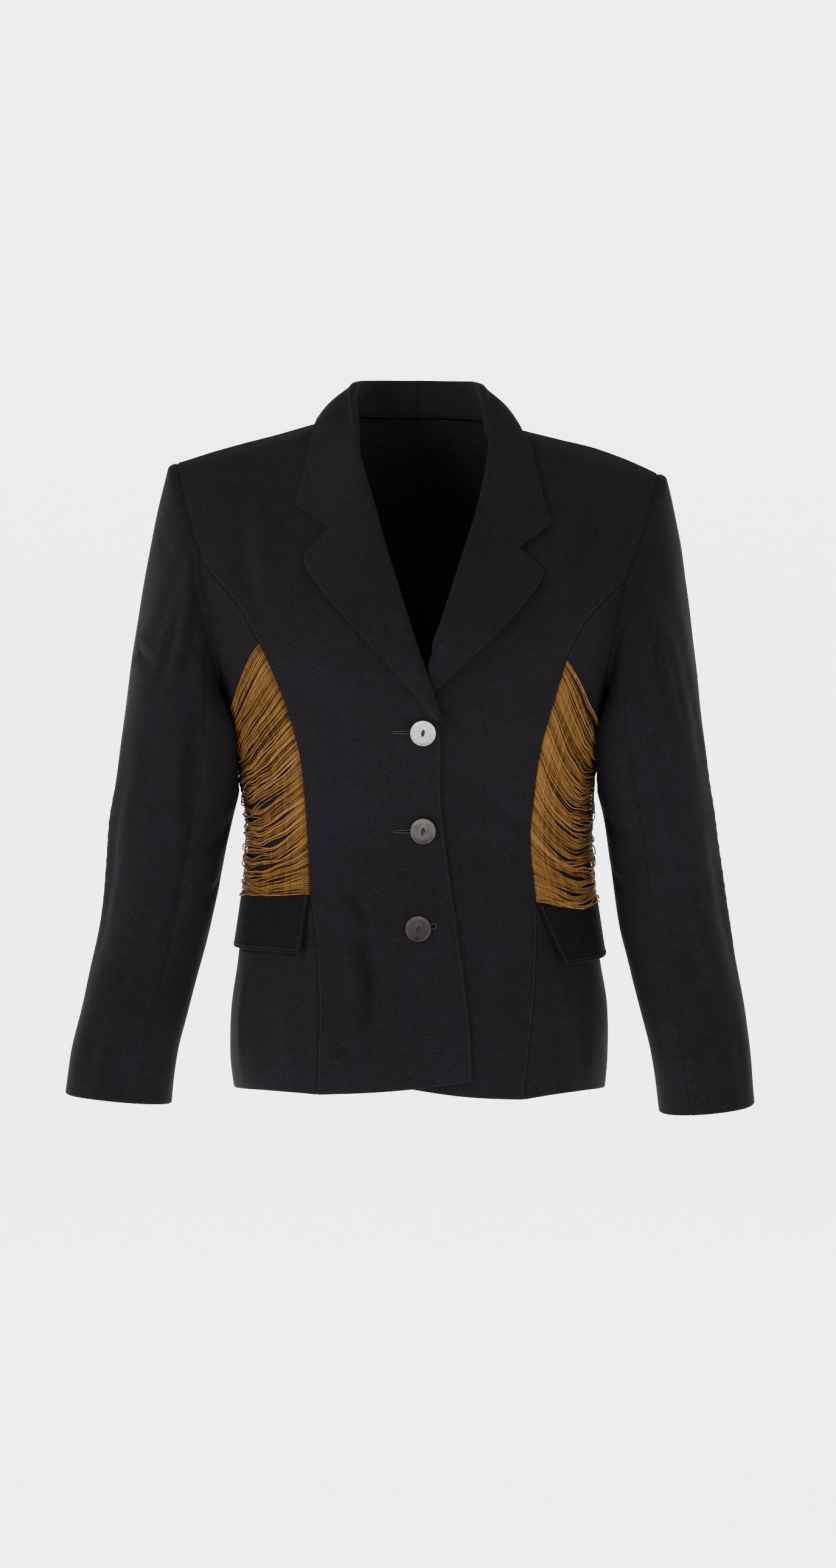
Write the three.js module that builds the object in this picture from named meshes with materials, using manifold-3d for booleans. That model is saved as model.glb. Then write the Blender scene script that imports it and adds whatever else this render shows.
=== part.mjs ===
// A fitted three-button blazer, held in the hollow form it has when it is worn.
// Millimetres, +Z up. The garment faces -Y, and +X is the wearer's left.
// The origin is the base of the neck, midway between the two shoulder-neck points.
import * as THREE from 'three';
import Module from 'manifold-3d';
import { mergeVertices } from 'three/addons/utils/BufferGeometryUtils.js';

// ---------- driving sizes ----------
const CLOTH = 2.0; // wall of fronts, sides and backs: cloth with its interlining
const SLEEVE_CLOTH = 1.8;
const LAPEL_CLOTH = 1.8;
const FLAP_CLOTH = 2.4; // two layers
const SEAM = 0.36; // clear gap between neighbouring pieces

const RING_POWER = 2.4; // how square a level section of the body is
const SIDE_Y = 5; // where the body is widest, front to back
const SHOULDER_ROUND = 200; // height over which the shoulder rolls into the chest
const SHOULDER_POWER = 1.4;
const NECK_HALF = 70; // half width of the neck hole at the shoulder seam
const NECK_FRONT = 60; // how far its rim runs forward of the shoulder seam
const NECK_BACK = 55;
const NECK_BACK_POWER = 0.7;
const NECK_SOFT = { half: 120, drop: 80 }; // the neck's hollow spreads and fades below its rim

const BUTTON_DIAMETER = 23;
const BUTTON_THICK = 2.2;
const BUTTON_EDGE = { wide: 0.5, deep: 0.4 }; // its bevel
const BUTTON_SLOT = { length: 6.4, width: 2.8, tilt: 0.2 };

const CORDS = 30; // cords on each side
const CORD_STEPS = 8;
const CORD_RADIUS = 0.95;
const CORD_CLOSEST = 2.7; // least drop from one cord to the next
const CORD_LIFT = 1.2; // cords and strips over the side panel
const CORD_LOOSE = 0.22; // share by which one cord's sag differs from the next
const CORD_SAG_POWER = 0.8; // how slowly the sag grows smaller further down
const CORD_REST = 0.99; // share of the least drop that is kept above the lowest cord
const STRIP = {
  width: 4.5, thick: 2.3, beside: 2.2, over: 3, under: 2, sunk: 0.2, reach: 130, every: 4,
};

// Level sections of the body: half widths on the wearer's right and left, front and back reach.
const BODY = [
  { z: 25, right: 300, left: 300, front: -98, back: 112 },
  { z: -30, right: 295, left: 295, front: -98, back: 112 },
  { z: -73, right: 280, left: 275, front: -98, back: 112 },
  { z: -105, right: 262, left: 249, front: -101, back: 112 },
  { z: -140, right: 240, left: 224, front: -109, back: 112 },
  { z: -190, right: 208, left: 197, front: -121, back: 109 },
  { z: -236, right: 184, left: 176, front: -124.5, back: 103 },
  { z: -270, right: 174, left: 168.5, front: -122, back: 98 },
  { z: -305, right: 165, left: 161.5, front: -116, back: 91 },
  { z: -340, right: 158.5, left: 158.5, front: -110, back: 86 },
  { z: -377, right: 157, left: 157.5, front: -106, back: 84 },
  { z: -415, right: 159, left: 160, front: -107, back: 88 },
  { z: -450, right: 162.5, left: 163.5, front: -110, back: 95 },
  { z: -485, right: 166, left: 166.5, front: -113, back: 102 },
  { z: -530, right: 172, left: 173.5, front: -117, back: 111 },
  { z: -575, right: 173, left: 174, front: -120, back: 117 },
  { z: -615, right: 168, left: 171, front: -121, back: 120 },
];

// Height of the shoulder seam at each distance from the centre.
const SHOULDER = [
  { x: 0, right: 12, left: 12 },
  { x: 40, right: 12, left: 10 },
  { x: 70, right: 12, left: 6 },
  { x: 91, right: 6, left: 0 },
  { x: 131, right: -5.5, left: -10 },
  { x: 160, right: -13, left: -17 },
  { x: 187, right: -20.5, left: -26.5 },
  { x: 209, right: -27.5, left: -36 },
  { x: 226, right: -33.5, left: -44.5 },
  { x: 300, right: -70, left: -80 },
];

// The armhole, from the shoulder point down the front, under the arm and up the back.
// x is the distance from the centre; the underarm is given by its angle round the body.
const ARMHOLE = {
  right: [
    { x: 221.5, z: -31.7 },
    { x: 213, z: -73 },
    { x: 205, z: -102 },
    { x: 199.8, z: -121 },
    { x: 188, z: -190 },
    { x: 179.5, z: -236 },
    { around: 92, z: -254 },
    { x: 180.5, z: -232, behind: true },
    { x: 186.5, z: -182, behind: true },
    { x: 197, z: -118, behind: true },
    { x: 209, z: -74, behind: true },
    { x: 221.5, z: -31.7, behind: true },
  ],
  left: [
    { x: 219.5, z: -41.5 },
    { x: 212, z: -76 },
    { x: 202, z: -108 },
    { x: 190.6, z: -139 },
    { x: 178, z: -193 },
    { x: 171.5, z: -236 },
    { around: 92, z: -256 },
    { x: 172.5, z: -234, behind: true },
    { x: 179, z: -184, behind: true },
    { x: 192, z: -122, behind: true },
    { x: 206, z: -80, behind: true },
    { x: 219.5, z: -41.5, behind: true },
  ],
};
const ARMHOLE_SPLIT = 2; // columns to each row of the table
const FRONT_SEAM_AT = 3; // row where the front princess seam leaves the armhole
const BACK_SEAM_AT = 9;

// Distance of the princess seams from the centre, front and back.
const SIDE_SEAMS = [
  { z: -155, right: 171, left: 173, rightBack: 166, leftBack: 164 },
  { z: -176, right: 156.5, left: 154, rightBack: 152, leftBack: 150 },
  { z: -200, right: 144.5, left: 139.5, rightBack: 139, leftBack: 137 },
  { z: -230, right: 130.7, left: 130.3, rightBack: 127, leftBack: 126 },
  { z: -260, right: 119.5, left: 120.7, rightBack: 117, leftBack: 117 },
  { z: -300, right: 108.4, left: 110.3, rightBack: 106, leftBack: 106 },
  { z: -340, right: 104, left: 105, rightBack: 99, leftBack: 99 },
  { z: -380, right: 101, left: 101.9, rightBack: 97, leftBack: 97 },
  { z: -427, right: 98.7, left: 106.8, rightBack: 101, leftBack: 101 },
  { z: -460, right: 93.6, left: 107.6, rightBack: 106, leftBack: 106 },
  { z: -500, right: 91, left: 106, rightBack: 111, leftBack: 111 },
  { z: -550, right: 90.6, left: 101.7, rightBack: 115, leftBack: 115 },
  { z: -606, right: 92.1, left: 95.7, rightBack: 118, leftBack: 118 },
];

// Signed x of each front's free edge, from the neck down the roll line to the hem.
const FRONT_EDGE = {
  right: [
    { z: 12, x: -67.5 },
    { z: 0, x: -62 },
    { z: -26, x: -58.5 },
    { z: -50, x: -52.2 },
    { z: -79, x: -43.5 },
    { z: -109, x: -35.8 },
    { z: -135, x: -27.4 },
    { z: -166, x: -18.1 },
    { z: -194, x: -9.1 },
    { z: -228, x: 2.6 },
    { z: -255, x: 11.6 },
    { z: -276, x: 18.5 },
    { z: -300, x: 19.6 },
    { z: -330, x: 19.4 },
    { z: -369, x: 22.6 },
    { z: -410, x: 27.8 },
    { z: -458, x: 34.8 },
    { z: -500, x: 40.5 },
    { z: -545, x: 45.5 },
    { z: -596, x: 48.3 },
  ],
  left: [
    { z: 6, x: 67.5 },
    { z: 0, x: 68 },
    { z: -16, x: 70 },
    { z: -42, x: 66.3 },
    { z: -83, x: 56.8 },
    { z: -125, x: 44 },
    { z: -166, x: 30.2 },
    { z: -202, x: 18 },
    { z: -228, x: 8.5 },
    { z: -262, x: -8 },
    { z: -290, x: -14 },
    { z: -369, x: -15 },
    { z: -458, x: -18 },
    { z: -540, x: -14 },
    { z: -601, x: -8 },
  ],
};
// How far the right front stands out, and the left front lies back, where they overlap.
const OVERLAP = [
  { z: 30, right: 0, left: 0 },
  { z: -190, right: 0, left: 0 },
  { z: -222, right: 1.6, left: -2.2 },
  { z: -262, right: 2.2, left: -2.4 },
  { z: -310, right: 1.2, left: -1.7 },
  { z: -615, right: 1.2, left: -1.7 },
];
// Distance from the centre, on each front's own side, where that shift fades away.
const OVERLAP_REACH = { right: { from: 30, to: 55 }, left: { from: 58, to: 88 } };
const HEM_Z = {
  right: { edge: -595.5, seam: -607.5, side: -604, back: -599 },
  left: { edge: -602, seam: -612, side: -604, back: -599 },
};

// Level sections of the sleeves below the armhole.
const ARM = [
  { z: -290, rightOut: 273.5, rightIn: 161, leftOut: 263, leftIn: 157, front: -68, back: 60 },
  { z: -325, rightOut: 278, rightIn: 163.5, leftOut: 267.5, leftIn: 162, front: -66, back: 60 },
  { z: -360, rightOut: 283.5, rightIn: 171, leftOut: 272.5, leftIn: 170, front: -64, back: 58 },
  { z: -395, rightOut: 286.5, rightIn: 178.5, leftOut: 277, leftIn: 175.5, front: -62, back: 54 },
  { z: -430, rightOut: 289.5, rightIn: 185, leftOut: 282, leftIn: 180.5, front: -61, back: 50 },
  { z: -465, rightOut: 295, rightIn: 192.5, leftOut: 287, leftIn: 186, front: -60, back: 45 },
  { z: -500, rightOut: 302.5, rightIn: 202, leftOut: 293.5, leftIn: 194.5, front: -60, back: 39 },
  { z: -535, rightOut: 310, rightIn: 211, leftOut: 300, leftIn: 203.5, front: -61, back: 32 },
  { z: -570, rightOut: 318, rightIn: 220, leftOut: 304.5, leftIn: 213, front: -62, back: 26 },
  { z: -625, rightOut: 326.5, rightIn: 226.5, leftOut: 309, leftIn: 220.5, front: -63, back: 19 },
];
const ARM_POWER = 2.4;
const BICEP_Z = -290;
// The cuff's height at its outer, inner and front side.
const CUFF = {
  right: { out: -608, inner: -617.5, front: -616 },
  left: { out: -617, inner: -625, front: -627 },
};
const CAP_ROWS = 5; // rows from the sleeve head to the upper arm
const LOWER_ROWS = 9; // rows from there to the cuff
const HEAD = { out: 6, round: 2.5, down: 2, under: 0.35 }; // the sleeve head's small roll over the seam
const SEAM_START = { top: 0.5, under: 1.7, lower: 0.8 }; // the sleeve's edge off the armhole
// Directions in which the cap leaves the head and arrives at the upper arm.
const CAP_LEAVE = { out: 0.24, outUnder: 0.1, forward: 0.42, down: 0.92 };
const CAP_ARRIVE = { out: 0.13, down: 0.99 };
const SLEEVE_CLEAR = 5.2; // from the body's skin, cords included
const UNDERARM_Z = -250;
const UNDERARM_FADE = 14; // height over which the sleeve comes clear below it
// Where each armhole column comes to lie round the sleeve, in degrees from its outer side.
const ROUND_SLEEVE = [
  { x: 0, turn: 0 },
  { x: 3, turn: 80 },
  { x: 6, turn: 180 },
  { x: 9, turn: 287 },
  { x: 11, turn: 360 },
];
const UNDER_SLEEVE = { from: 8, to: 17 }; // columns of the under sleeve

// The lapel and collar, cut in one from the break up to the centre back.
// Rows run along the fold. fold and edge give x and z; rows with y stand round the neck,
// and flat rows are the tip that lies under the other front.
const LAPEL = {
  right: [
    { fold: [19.6, -270], edge: [12.5, -264.5] },
    { fold: [14.6, -255], edge: [-5, -244] },
    { fold: [5.6, -228], edge: [-35, -210.5] },
    { fold: [-2.8, -204], edge: [-60, -183.5] },
    { fold: [-11.5, -178], edge: [-80, -160.4] },
    { fold: [-20, -150], edge: [-94.5, -141] },
    { fold: [-26.5, -129], edge: [-101.6, -128.5] },
    { fold: [-30, -118], edge: [-103.2, -119.9] },
    { fold: [-35, -100], edge: [-80, -94.9] },
    { fold: [-40.5, -79], edge: [-110.5, -73.3] },
    { fold: [-45.5, -62], edge: [-106.5, -57] },
    { fold: [-51, -44], edge: [-102, -42] },
    { fold: [-55.8, -24], edge: [-99.3, -26] },
    { fold: [-59, 5], y: -28, edge: [-96.5, -5], edgeY: -16, stand: [-57, -25, -1] },
    { fold: [-61.8, 26], y: -6, edge: [-93.5, 5.4], edgeY: -7, stand: [-65.5, -6, 13] },
    { fold: [-61, 39], y: 12, edge: [-90, 9], edgeY: 12, stand: [-65.5, 10, 13] },
    { fold: [-55, 43], y: 30, edge: [-76, -5], edgeY: 34, stand: [-54, 28.5, 12.6] },
    { fold: [-41, 44], y: 47, edge: [-56, -8.5], edgeY: 57.5, stand: [-40, 43.5, 12.6] },
    { fold: [-22, 44.5], y: 57, edge: [-32, -8.5], edgeY: 71.5, stand: [-22, 54, 12.6] },
    { fold: [0, 45], y: 60.5, edge: [0, -9], edgeY: 77, stand: [0, 57.6, 12.6] },
  ],
  left: [
    { fold: [13.2, -240], edge: [19.5, -239], flat: true },
    { fold: [9.6, -229], edge: [29, -228.5], flat: true },
    { fold: [9.4, -219], edge: [41, -217.5], flat: true },
    { fold: [15, -202], edge: [61, -199.5] },
    { fold: [22.8, -180], edge: [80, -181] },
    { fold: [33.9, -146.5], edge: [103.2, -152.6] },
    { fold: [38, -134], edge: [110.5, -141.5] },
    { fold: [40, -127.5], edge: [112.7, -132.6] },
    { fold: [45.5, -110], edge: [89.4, -112.7] },
    { fold: [50.5, -94], edge: [120.4, -89.9] },
    { fold: [54, -82], edge: [115.6, -77] },
    { fold: [60, -58], edge: [109.9, -56] },
    { fold: [64, -36], edge: [105.3, -36] },
    { fold: [66.8, -16], edge: [101, -17] },
    { fold: [65.3, 1], y: -21, edge: [97, -10], edgeY: -15, stand: [63.5, -17, -4] },
    { fold: [62, 24], y: -4, edge: [92, 1.6], edgeY: -5, stand: [66, -6, 7.4] },
    { fold: [60, 37], y: 12, edge: [87.5, 5.5], edgeY: 12, stand: [65.5, 10, 7.4] },
    { fold: [54, 42], y: 30, edge: [76, -7], edgeY: 34, stand: [54, 28.5, 9.2] },
    { fold: [41, 43.5], y: 47, edge: [56, -9.5], edgeY: 57.5, stand: [40, 43.5, 10.8] },
    { fold: [22, 44.3], y: 57, edge: [32, -9], edgeY: 71.5, stand: [22, 54, 12.2] },
    { fold: [0, 45], y: 60.5, edge: [0, -9], edgeY: 77, stand: [0, 57.6, 12.6] },
  ],
};
// The lapel's section: share of the width, distance from the fold, height over the front.
const ROLL = [
  { share: 0, beyond: 0.3, high: -1.9 },
  { share: 0, beyond: -1.0, high: -0.2 },
  { share: 0, beyond: -1.4, high: 2.2 },
  { share: 0, beyond: 0.9, high: 4.5 },
  { share: 0.26, beyond: 0, high: 4.9 },
  { share: 0.52, beyond: 0, high: 4.0 },
  { share: 0.78, beyond: 0, high: 3.3 },
  { share: 1, beyond: 0, high: 2.8 },
];
const LAPEL_FLAT = 3.4; // height of the lapel's end where it has no roll
const FOLD_RADIUS = 3.1; // of the standing collar
const COLLAR_BELLY = 2.2;

const FLAP = {
  right: { top: [-427.5, -424.5], bottom: [-480, -473], frontSlant: 5.5, kick: [4.6, 1.6] },
  left: { top: [-435.5, -431], bottom: [-491, -479], frontSlant: 19.5, kick: [7.5, 1.6] },
};
const FLAP_LIFT = 0.8; // over the side panel, at its top seam
const FLAP_BACK = 98; // degrees round the body where the flap ends
const FLAP_ROWS = 4;
const FLAP_COLUMNS = 7;
const FLAP_CURL = 1.4;

const SEAM_ABOVE_CORDS = { z: -190, out: 6 }; // the front seam there, out from its place at z -200
const CORD_FIELD = {
  right: { top: -201, bottom: -420, backTop: -204, sag: 62, lowest: 0.5, slack: 1.0 },
  left: { top: -214, bottom: -428.5, backTop: -212, sag: 58, lowest: 0.38, slack: 1.4 },
};

// shank is the room that the button's thread leaves under it.
const BUTTONS = [
  { name: 'button_top', x: 4, z: -280, shank: 0.25, colour: 0xbab4b2 },
  { name: 'button_middle', x: 4, z: -369, shank: 1.1, colour: 0x8a8382 },
  { name: 'button_low', x: -0.3, z: -458, shank: 0.35, colour: 0x645b5a },
];

const BLACK = 0x1d1b20;
const GOLD = 0xa8743a;

// ---------- small tools ----------
const DEG = Math.PI / 180;
const vec = (x, y, z) => new THREE.Vector3(x, y, z);
const mix = (a, b, share) => a + (b - a) * share;
const sign = (side) => (side === 'right' ? -1 : 1);

// A smooth curve through one column of a table whose rows are sorted by another column.
function smooth(rows, by, column) {
  const up = rows[0][by] < rows[rows.length - 1][by];
  const sorted = up ? rows : [...rows].reverse();
  const at = sorted.map((row) => row[by]);
  const value = sorted.map((row) => row[column]);
  const last = at.length - 1;
  const slope = at.map((_, i) => {
    const before = Math.max(i - 1, 0);
    const after = Math.min(i + 1, last);
    return (value[after] - value[before]) / (at[after] - at[before]);
  });
  return (where) => {
    const place = THREE.MathUtils.clamp(where, at[0], at[last]);
    let i = 0;
    while (i < last - 1 && place > at[i + 1]) i += 1;
    const span = at[i + 1] - at[i];
    const t = (place - at[i]) / span;
    const t2 = t * t;
    const t3 = t2 * t;
    return (2 * t3 - 3 * t2 + 1) * value[i] + (t3 - 2 * t2 + t) * span * slope[i]
      + (3 * t2 - 2 * t3) * value[i + 1] + (t3 - t2) * span * slope[i + 1];
  };
}

// ---------- the body's skin ----------
const halfWidth = { right: smooth(BODY, 'z', 'right'), left: smooth(BODY, 'z', 'left') };
const frontReach = smooth(BODY, 'z', 'front');
const backReach = smooth(BODY, 'z', 'back');
const shoulderZ = { right: smooth(SHOULDER, 'x', 'right'), left: smooth(SHOULDER, 'x', 'left') };

// The ridge that the shoulder and neck seams lie on, sharp at its top and softer further down.
function ridgeY(x, behind, drop = 0) {
  const inNeck = Math.max(1 - (x / NECK_HALF) ** 2, 0);
  const spread = Math.max(1 - (x / NECK_SOFT.half) ** 2, 0) ** 2;
  const rim = behind ? NECK_BACK * inNeck ** NECK_BACK_POWER : NECK_FRONT * inNeck;
  const soft = (behind ? NECK_BACK : NECK_FRONT) * spread;
  const reach = mix(rim, soft, THREE.MathUtils.smoothstep(drop, 0, NECK_SOFT.drop));
  return behind ? SIDE_Y + reach : SIDE_Y - reach;
}

const depthAt = (z, behind) => (behind ? backReach(z) - SIDE_Y : SIDE_Y - frontReach(z));

// A point of the skin, by its angle from the front middle (plus to the wearer's left) and height.
function skin(around, z) {
  const side = around < 0 ? 'right' : 'left';
  const behind = Math.abs(around) > 90;
  const wide = Math.abs(Math.sin(around * DEG)) / halfWidth[side](z);
  const deep = Math.abs(Math.cos(around * DEG)) / depthAt(z, behind);
  const radius = (wide ** RING_POWER + deep ** RING_POWER) ** (-1 / RING_POWER);
  const x = radius * Math.sin(around * DEG);
  const ring = SIDE_Y - radius * Math.cos(around * DEG);
  const drop = Math.max(shoulderZ[side](Math.abs(x)) - z, 0);
  const below = Math.min(drop / SHOULDER_ROUND, 1);
  const rounding = (1 - (1 - below) ** SHOULDER_POWER) ** (1 / SHOULDER_POWER);
  return vec(x, mix(ridgeY(x, behind, drop), ring, rounding), z);
}

// The same point moved out from the skin by a height.
function onBody(around, z, high = 0) {
  const here = skin(around, z);
  if (high === 0) return here;
  const across = skin(around + 0.5, z).sub(skin(around - 0.5, z));
  const upward = skin(around, z + 0.5).sub(skin(around, z - 0.5));
  return here.addScaledVector(across.cross(upward).normalize(), high);
}

// The angle of the skin's point at a signed x.
function aroundAt(x, z, behind = false) {
  const side = x < 0 ? 'right' : 'left';
  const share = Math.min(Math.abs(x) / halfWidth[side](z), 0.9999);
  const y = depthAt(z, behind) * (1 - share ** RING_POWER) ** (1 / RING_POWER);
  const angle = Math.atan2(Math.abs(x), y) / DEG;
  return Math.sign(x || 1) * (behind ? 180 - angle : angle);
}

// ---------- walls ----------
// A closed wall between two grids of points, outer and inner, with a rim round its edge.
function wallBetween(outer, inner) {
  const rows = outer.length;
  const columns = outer[0].length;
  const points = [...outer.flat(), ...inner.flat()];
  const inside = rows * columns;
  const at = (row, column) => row * columns + column;
  const faces = [];
  const quad = (a, b, c, d) => faces.push(a, b, c, a, c, d);
  for (let r = 0; r < rows - 1; r += 1) {
    for (let c = 0; c < columns - 1; c += 1) {
      const corners = [at(r, c), at(r + 1, c), at(r + 1, c + 1), at(r, c + 1)];
      quad(...corners);
      quad(...corners.map((corner) => corner + inside).reverse());
    }
  }
  const rim = [];
  for (let c = 0; c < columns - 1; c += 1) rim.push(at(0, c));
  for (let r = 0; r < rows - 1; r += 1) rim.push(at(r, columns - 1));
  for (let c = columns - 1; c > 0; c -= 1) rim.push(at(rows - 1, c));
  for (let r = rows - 1; r > 0; r -= 1) rim.push(at(r, 0));
  rim.forEach((corner, i) => {
    const next = rim[(i + 1) % rim.length];
    quad(corner, next, next + inside, corner + inside);
  });
  return closed(points, faces);
}

// A geometry with its faces pointing out.
function closed(points, faces) {
  let volume = 0;
  for (let i = 0; i < faces.length; i += 3) {
    const [a, b, c] = [points[faces[i]], points[faces[i + 1]], points[faces[i + 2]]];
    volume += a.dot(vec(0, 0, 0).crossVectors(b, c)) / 6;
  }
  const geometry = new THREE.BufferGeometry();
  const numbers = points.flatMap((point) => point.toArray());
  geometry.setAttribute('position', new THREE.Float32BufferAttribute(numbers, 3));
  geometry.setIndex(volume < 0 ? faces.toReversed() : faces);
  return geometry;
}

// Unit normals of a grid of points; they point to the left of its rows as seen going down.
function gridNormals(grid, ringed = false) {
  const rows = grid.length;
  const columns = grid[0].length;
  return grid.map((row, r) => row.map((_, c) => {
    const before = ringed ? (c - 1 + columns - 1) % (columns - 1) : Math.max(c - 1, 0);
    const after = ringed ? (c + 1) % (columns - 1) : Math.min(c + 1, columns - 1);
    const across = row[after].clone().sub(row[before]);
    const down = grid[Math.min(r + 1, rows - 1)][c].clone().sub(grid[Math.max(r - 1, 0)][c]);
    return down.cross(across).normalize();
  }));
}

const offsetGrid = (grid, normals, by) => grid.map((row, r) => row.map(
  (point, c) => point.clone().addScaledVector(normals[r][c], by),
));

const group = new THREE.Group();
function add(name, geometry, colour, roughness = 0.9, metalness = 0) {
  const material = new THREE.MeshStandardMaterial({ color: colour, roughness, metalness });
  const mesh = new THREE.Mesh(geometry, material);
  mesh.name = name;
  group.add(mesh);
  return mesh;
}

// ---------- body panels ----------
// A spot is an angle and a height on the skin; ridge spots lie on the shoulder seam.
const halfSeam = (z) => (SEAM / 2 / halfWidth.right(z)) / DEG;

function ridgePoint(x, behind) {
  const side = x < 0 ? 'right' : 'left';
  const shift = (behind ? 1 : -1) * SEAM / 2;
  return vec(x, ridgeY(x, behind) + shift, shoulderZ[side](Math.abs(x)));
}

function panel(name, spots, high = () => 0) {
  const place = (spot, depth) => {
    if (spot.ridge === undefined) return onBody(spot.around, spot.z, high(spot) - depth + 1e-6);
    return ridgePoint(spot.ridge, spot.behind).add(vec(0, 0, -depth));
  };
  const outer = spots.map((row) => row.map((spot) => place(spot, 0)));
  const inner = spots.map((row) => row.map((spot) => place(spot, CLOTH)));
  add(name, wallBetween(outer, inner), BLACK);
}

// The armhole as spots, in the order of its table.
function armholeSpots(side) {
  const knots = ARMHOLE[side].map((row) => vec(
    row.around ?? Math.abs(aroundAt(row.x, row.z, row.behind)),
    row.z,
    0,
  ));
  const curve = new THREE.CatmullRomCurve3(knots, false, 'catmullrom', 0.5);
  const count = (knots.length - 1) * ARMHOLE_SPLIT;
  return Array.from({ length: count + 1 }, (_, i) => {
    const point = curve.getPoint(i / count);
    return { around: sign(side) * point.x, z: point.y };
  });
}
const armhole = { right: armholeSpots('right'), left: armholeSpots('left') };

// A princess seam as spots: the first is on the armhole.
function sideSeam(side, behind, rows) {
  const first = armhole[side][(behind ? BACK_SEAM_AT : FRONT_SEAM_AT) * ARMHOLE_SPLIT];
  const column = side + (behind ? 'Back' : '');
  const start = { z: first.z, [column]: Math.abs(skin(first.around, first.z).x) };
  const away = smooth([start, ...SIDE_SEAMS.filter((row) => row.z < first.z - 8)], 'z', column);
  const end = behind ? HEM_Z[side].back : HEM_Z[side].seam;
  return Array.from({ length: rows + 1 }, (_, i) => {
    if (i === 0) return first;
    const z = mix(first.z, end, i / rows);
    return { around: aroundAt(sign(side) * away(z), z, behind), z };
  });
}

const FRONT_COLUMNS = 10;
const SIDE_ROWS = 15;
const NECK_CROWD = 1.5; // rows lie closer together near the neck
const BACK_COLUMNS = 8;
const BACK_NECK_COLUMNS = 3; // of the back's columns, those that end in the neck hole
const BACK_NECK_END = 68;
const ARMHOLE_FADE = 2.2; // how soon the side panel's rows straighten below the armhole
const SEAM_DROP = 6; // the front's free edge runs lower than its princess seam

// How far a front, and what lies on it, stands out from the body's skin.
function overlapShift(side, x, z) {
  const { from, to } = OVERLAP_REACH[side];
  return smooth(OVERLAP, 'z', side)(z) * (1 - THREE.MathUtils.smoothstep(x * sign(side), from, to));
}

function frontPanel(side) {
  const to = sign(side);
  const edgeX = smooth(FRONT_EDGE[side], 'z', 'x');
  const neck = FRONT_EDGE[side][0];
  const outerEdge = [
    ...armhole[side].slice(0, FRONT_SEAM_AT * ARMHOLE_SPLIT),
    ...sideSeam(side, false, SIDE_ROWS),
  ];
  const turn = FRONT_SEAM_AT * ARMHOLE_SPLIT;
  const turnZ = outerEdge[turn].z - SEAM_DROP;
  const rows = outerEdge.map((outer, r) => {
    const down = (r - turn) / SIDE_ROWS;
    const z = r < turn
      ? mix(neck.z, turnZ, (r / turn) ** NECK_CROWD)
      : mix(turnZ, HEM_Z[side].edge, down);
    const inner = aroundAt(edgeX(z), z);
    return Array.from({ length: FRONT_COLUMNS + 1 }, (_, c) => {
      const share = c / FRONT_COLUMNS;
      if (r === 0) {
        const end = ARMHOLE[side][0].x * to;
        return { ridge: mix(edgeX(neck.z), end, share), behind: false };
      }
      const pull = share === 1 ? halfSeam(z) * to : 0;
      return { around: mix(inner, outer.around, share) - pull, z: mix(z, outer.z, share) };
    });
  });
  panel(`${side}_front`, rows, (spot) => overlapShift(side, skin(spot.around, spot.z).x, spot.z));
}

function sidePanel(side) {
  const to = sign(side);
  const front = sideSeam(side, false, SIDE_ROWS);
  const back = sideSeam(side, true, SIDE_ROWS);
  const first = FRONT_SEAM_AT * ARMHOLE_SPLIT;
  const columns = BACK_SEAM_AT * ARMHOLE_SPLIT - first;
  const rows = front.map((frontSpot, r) => Array.from({ length: columns + 1 }, (_, c) => {
    const share = c / columns;
    const top = armhole[side][first + c];
    const fade = (1 - r / SIDE_ROWS) ** ARMHOLE_FADE;
    const straight = (key) => mix(frontSpot[key], back[r][key], share);
    const dip = (key) => top[key] - mix(front[0][key], back[0][key], share);
    const hemDrop = (HEM_Z[side].side - straight('z')) * Math.sin(share * Math.PI) * (r === SIDE_ROWS);
    const gap = (c === 0 ? 1 : 0) - (c === columns ? 1 : 0);
    return {
      around: straight('around') + dip('around') * fade + gap * to * halfSeam(frontSpot.z),
      z: straight('z') + dip('z') * fade + hemDrop,
    };
  }));
  panel(`${side}_side_panel`, rows);
}

function backPanel(side) {
  const to = sign(side);
  const turn = (ARMHOLE[side].length - 1 - BACK_SEAM_AT) * ARMHOLE_SPLIT;
  const up = armhole[side].slice(BACK_SEAM_AT * ARMHOLE_SPLIT).reverse();
  const outerEdge = [...up.slice(0, turn), ...sideSeam(side, true, SIDE_ROWS)];
  const middle = to * 180;
  const neckZ = shoulderZ[side](0);
  const rows = outerEdge.map((outer, r) => {
    const down = (r - turn) / SIDE_ROWS;
    const z = r < turn
      ? mix(neckZ, outerEdge[turn].z, (r / turn) ** NECK_CROWD)
      : mix(outerEdge[turn].z, HEM_Z[side].back, down);
    return Array.from({ length: BACK_COLUMNS + 1 }, (_, c) => {
      const share = c / BACK_COLUMNS;
      if (r === 0) {
        const inNeck = Math.min(c / BACK_NECK_COLUMNS, 1);
        const onShoulder = Math.max(c - BACK_NECK_COLUMNS, 0) / (BACK_COLUMNS - BACK_NECK_COLUMNS);
        const x = mix(BACK_NECK_END * inNeck, ARMHOLE[side][0].x, onShoulder);
        return { ridge: to * Math.max(x, SEAM / 2), behind: true };
      }
      const gap = (share === 1 ? 1 : 0) - (share === 0 ? 1 : 0);
      const around = mix(middle, outer.around, share) + gap * to * halfSeam(z);
      return { around, z: mix(z, outer.z, share) };
    });
  });
  panel(`${side}_back`, rows);
}

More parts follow.
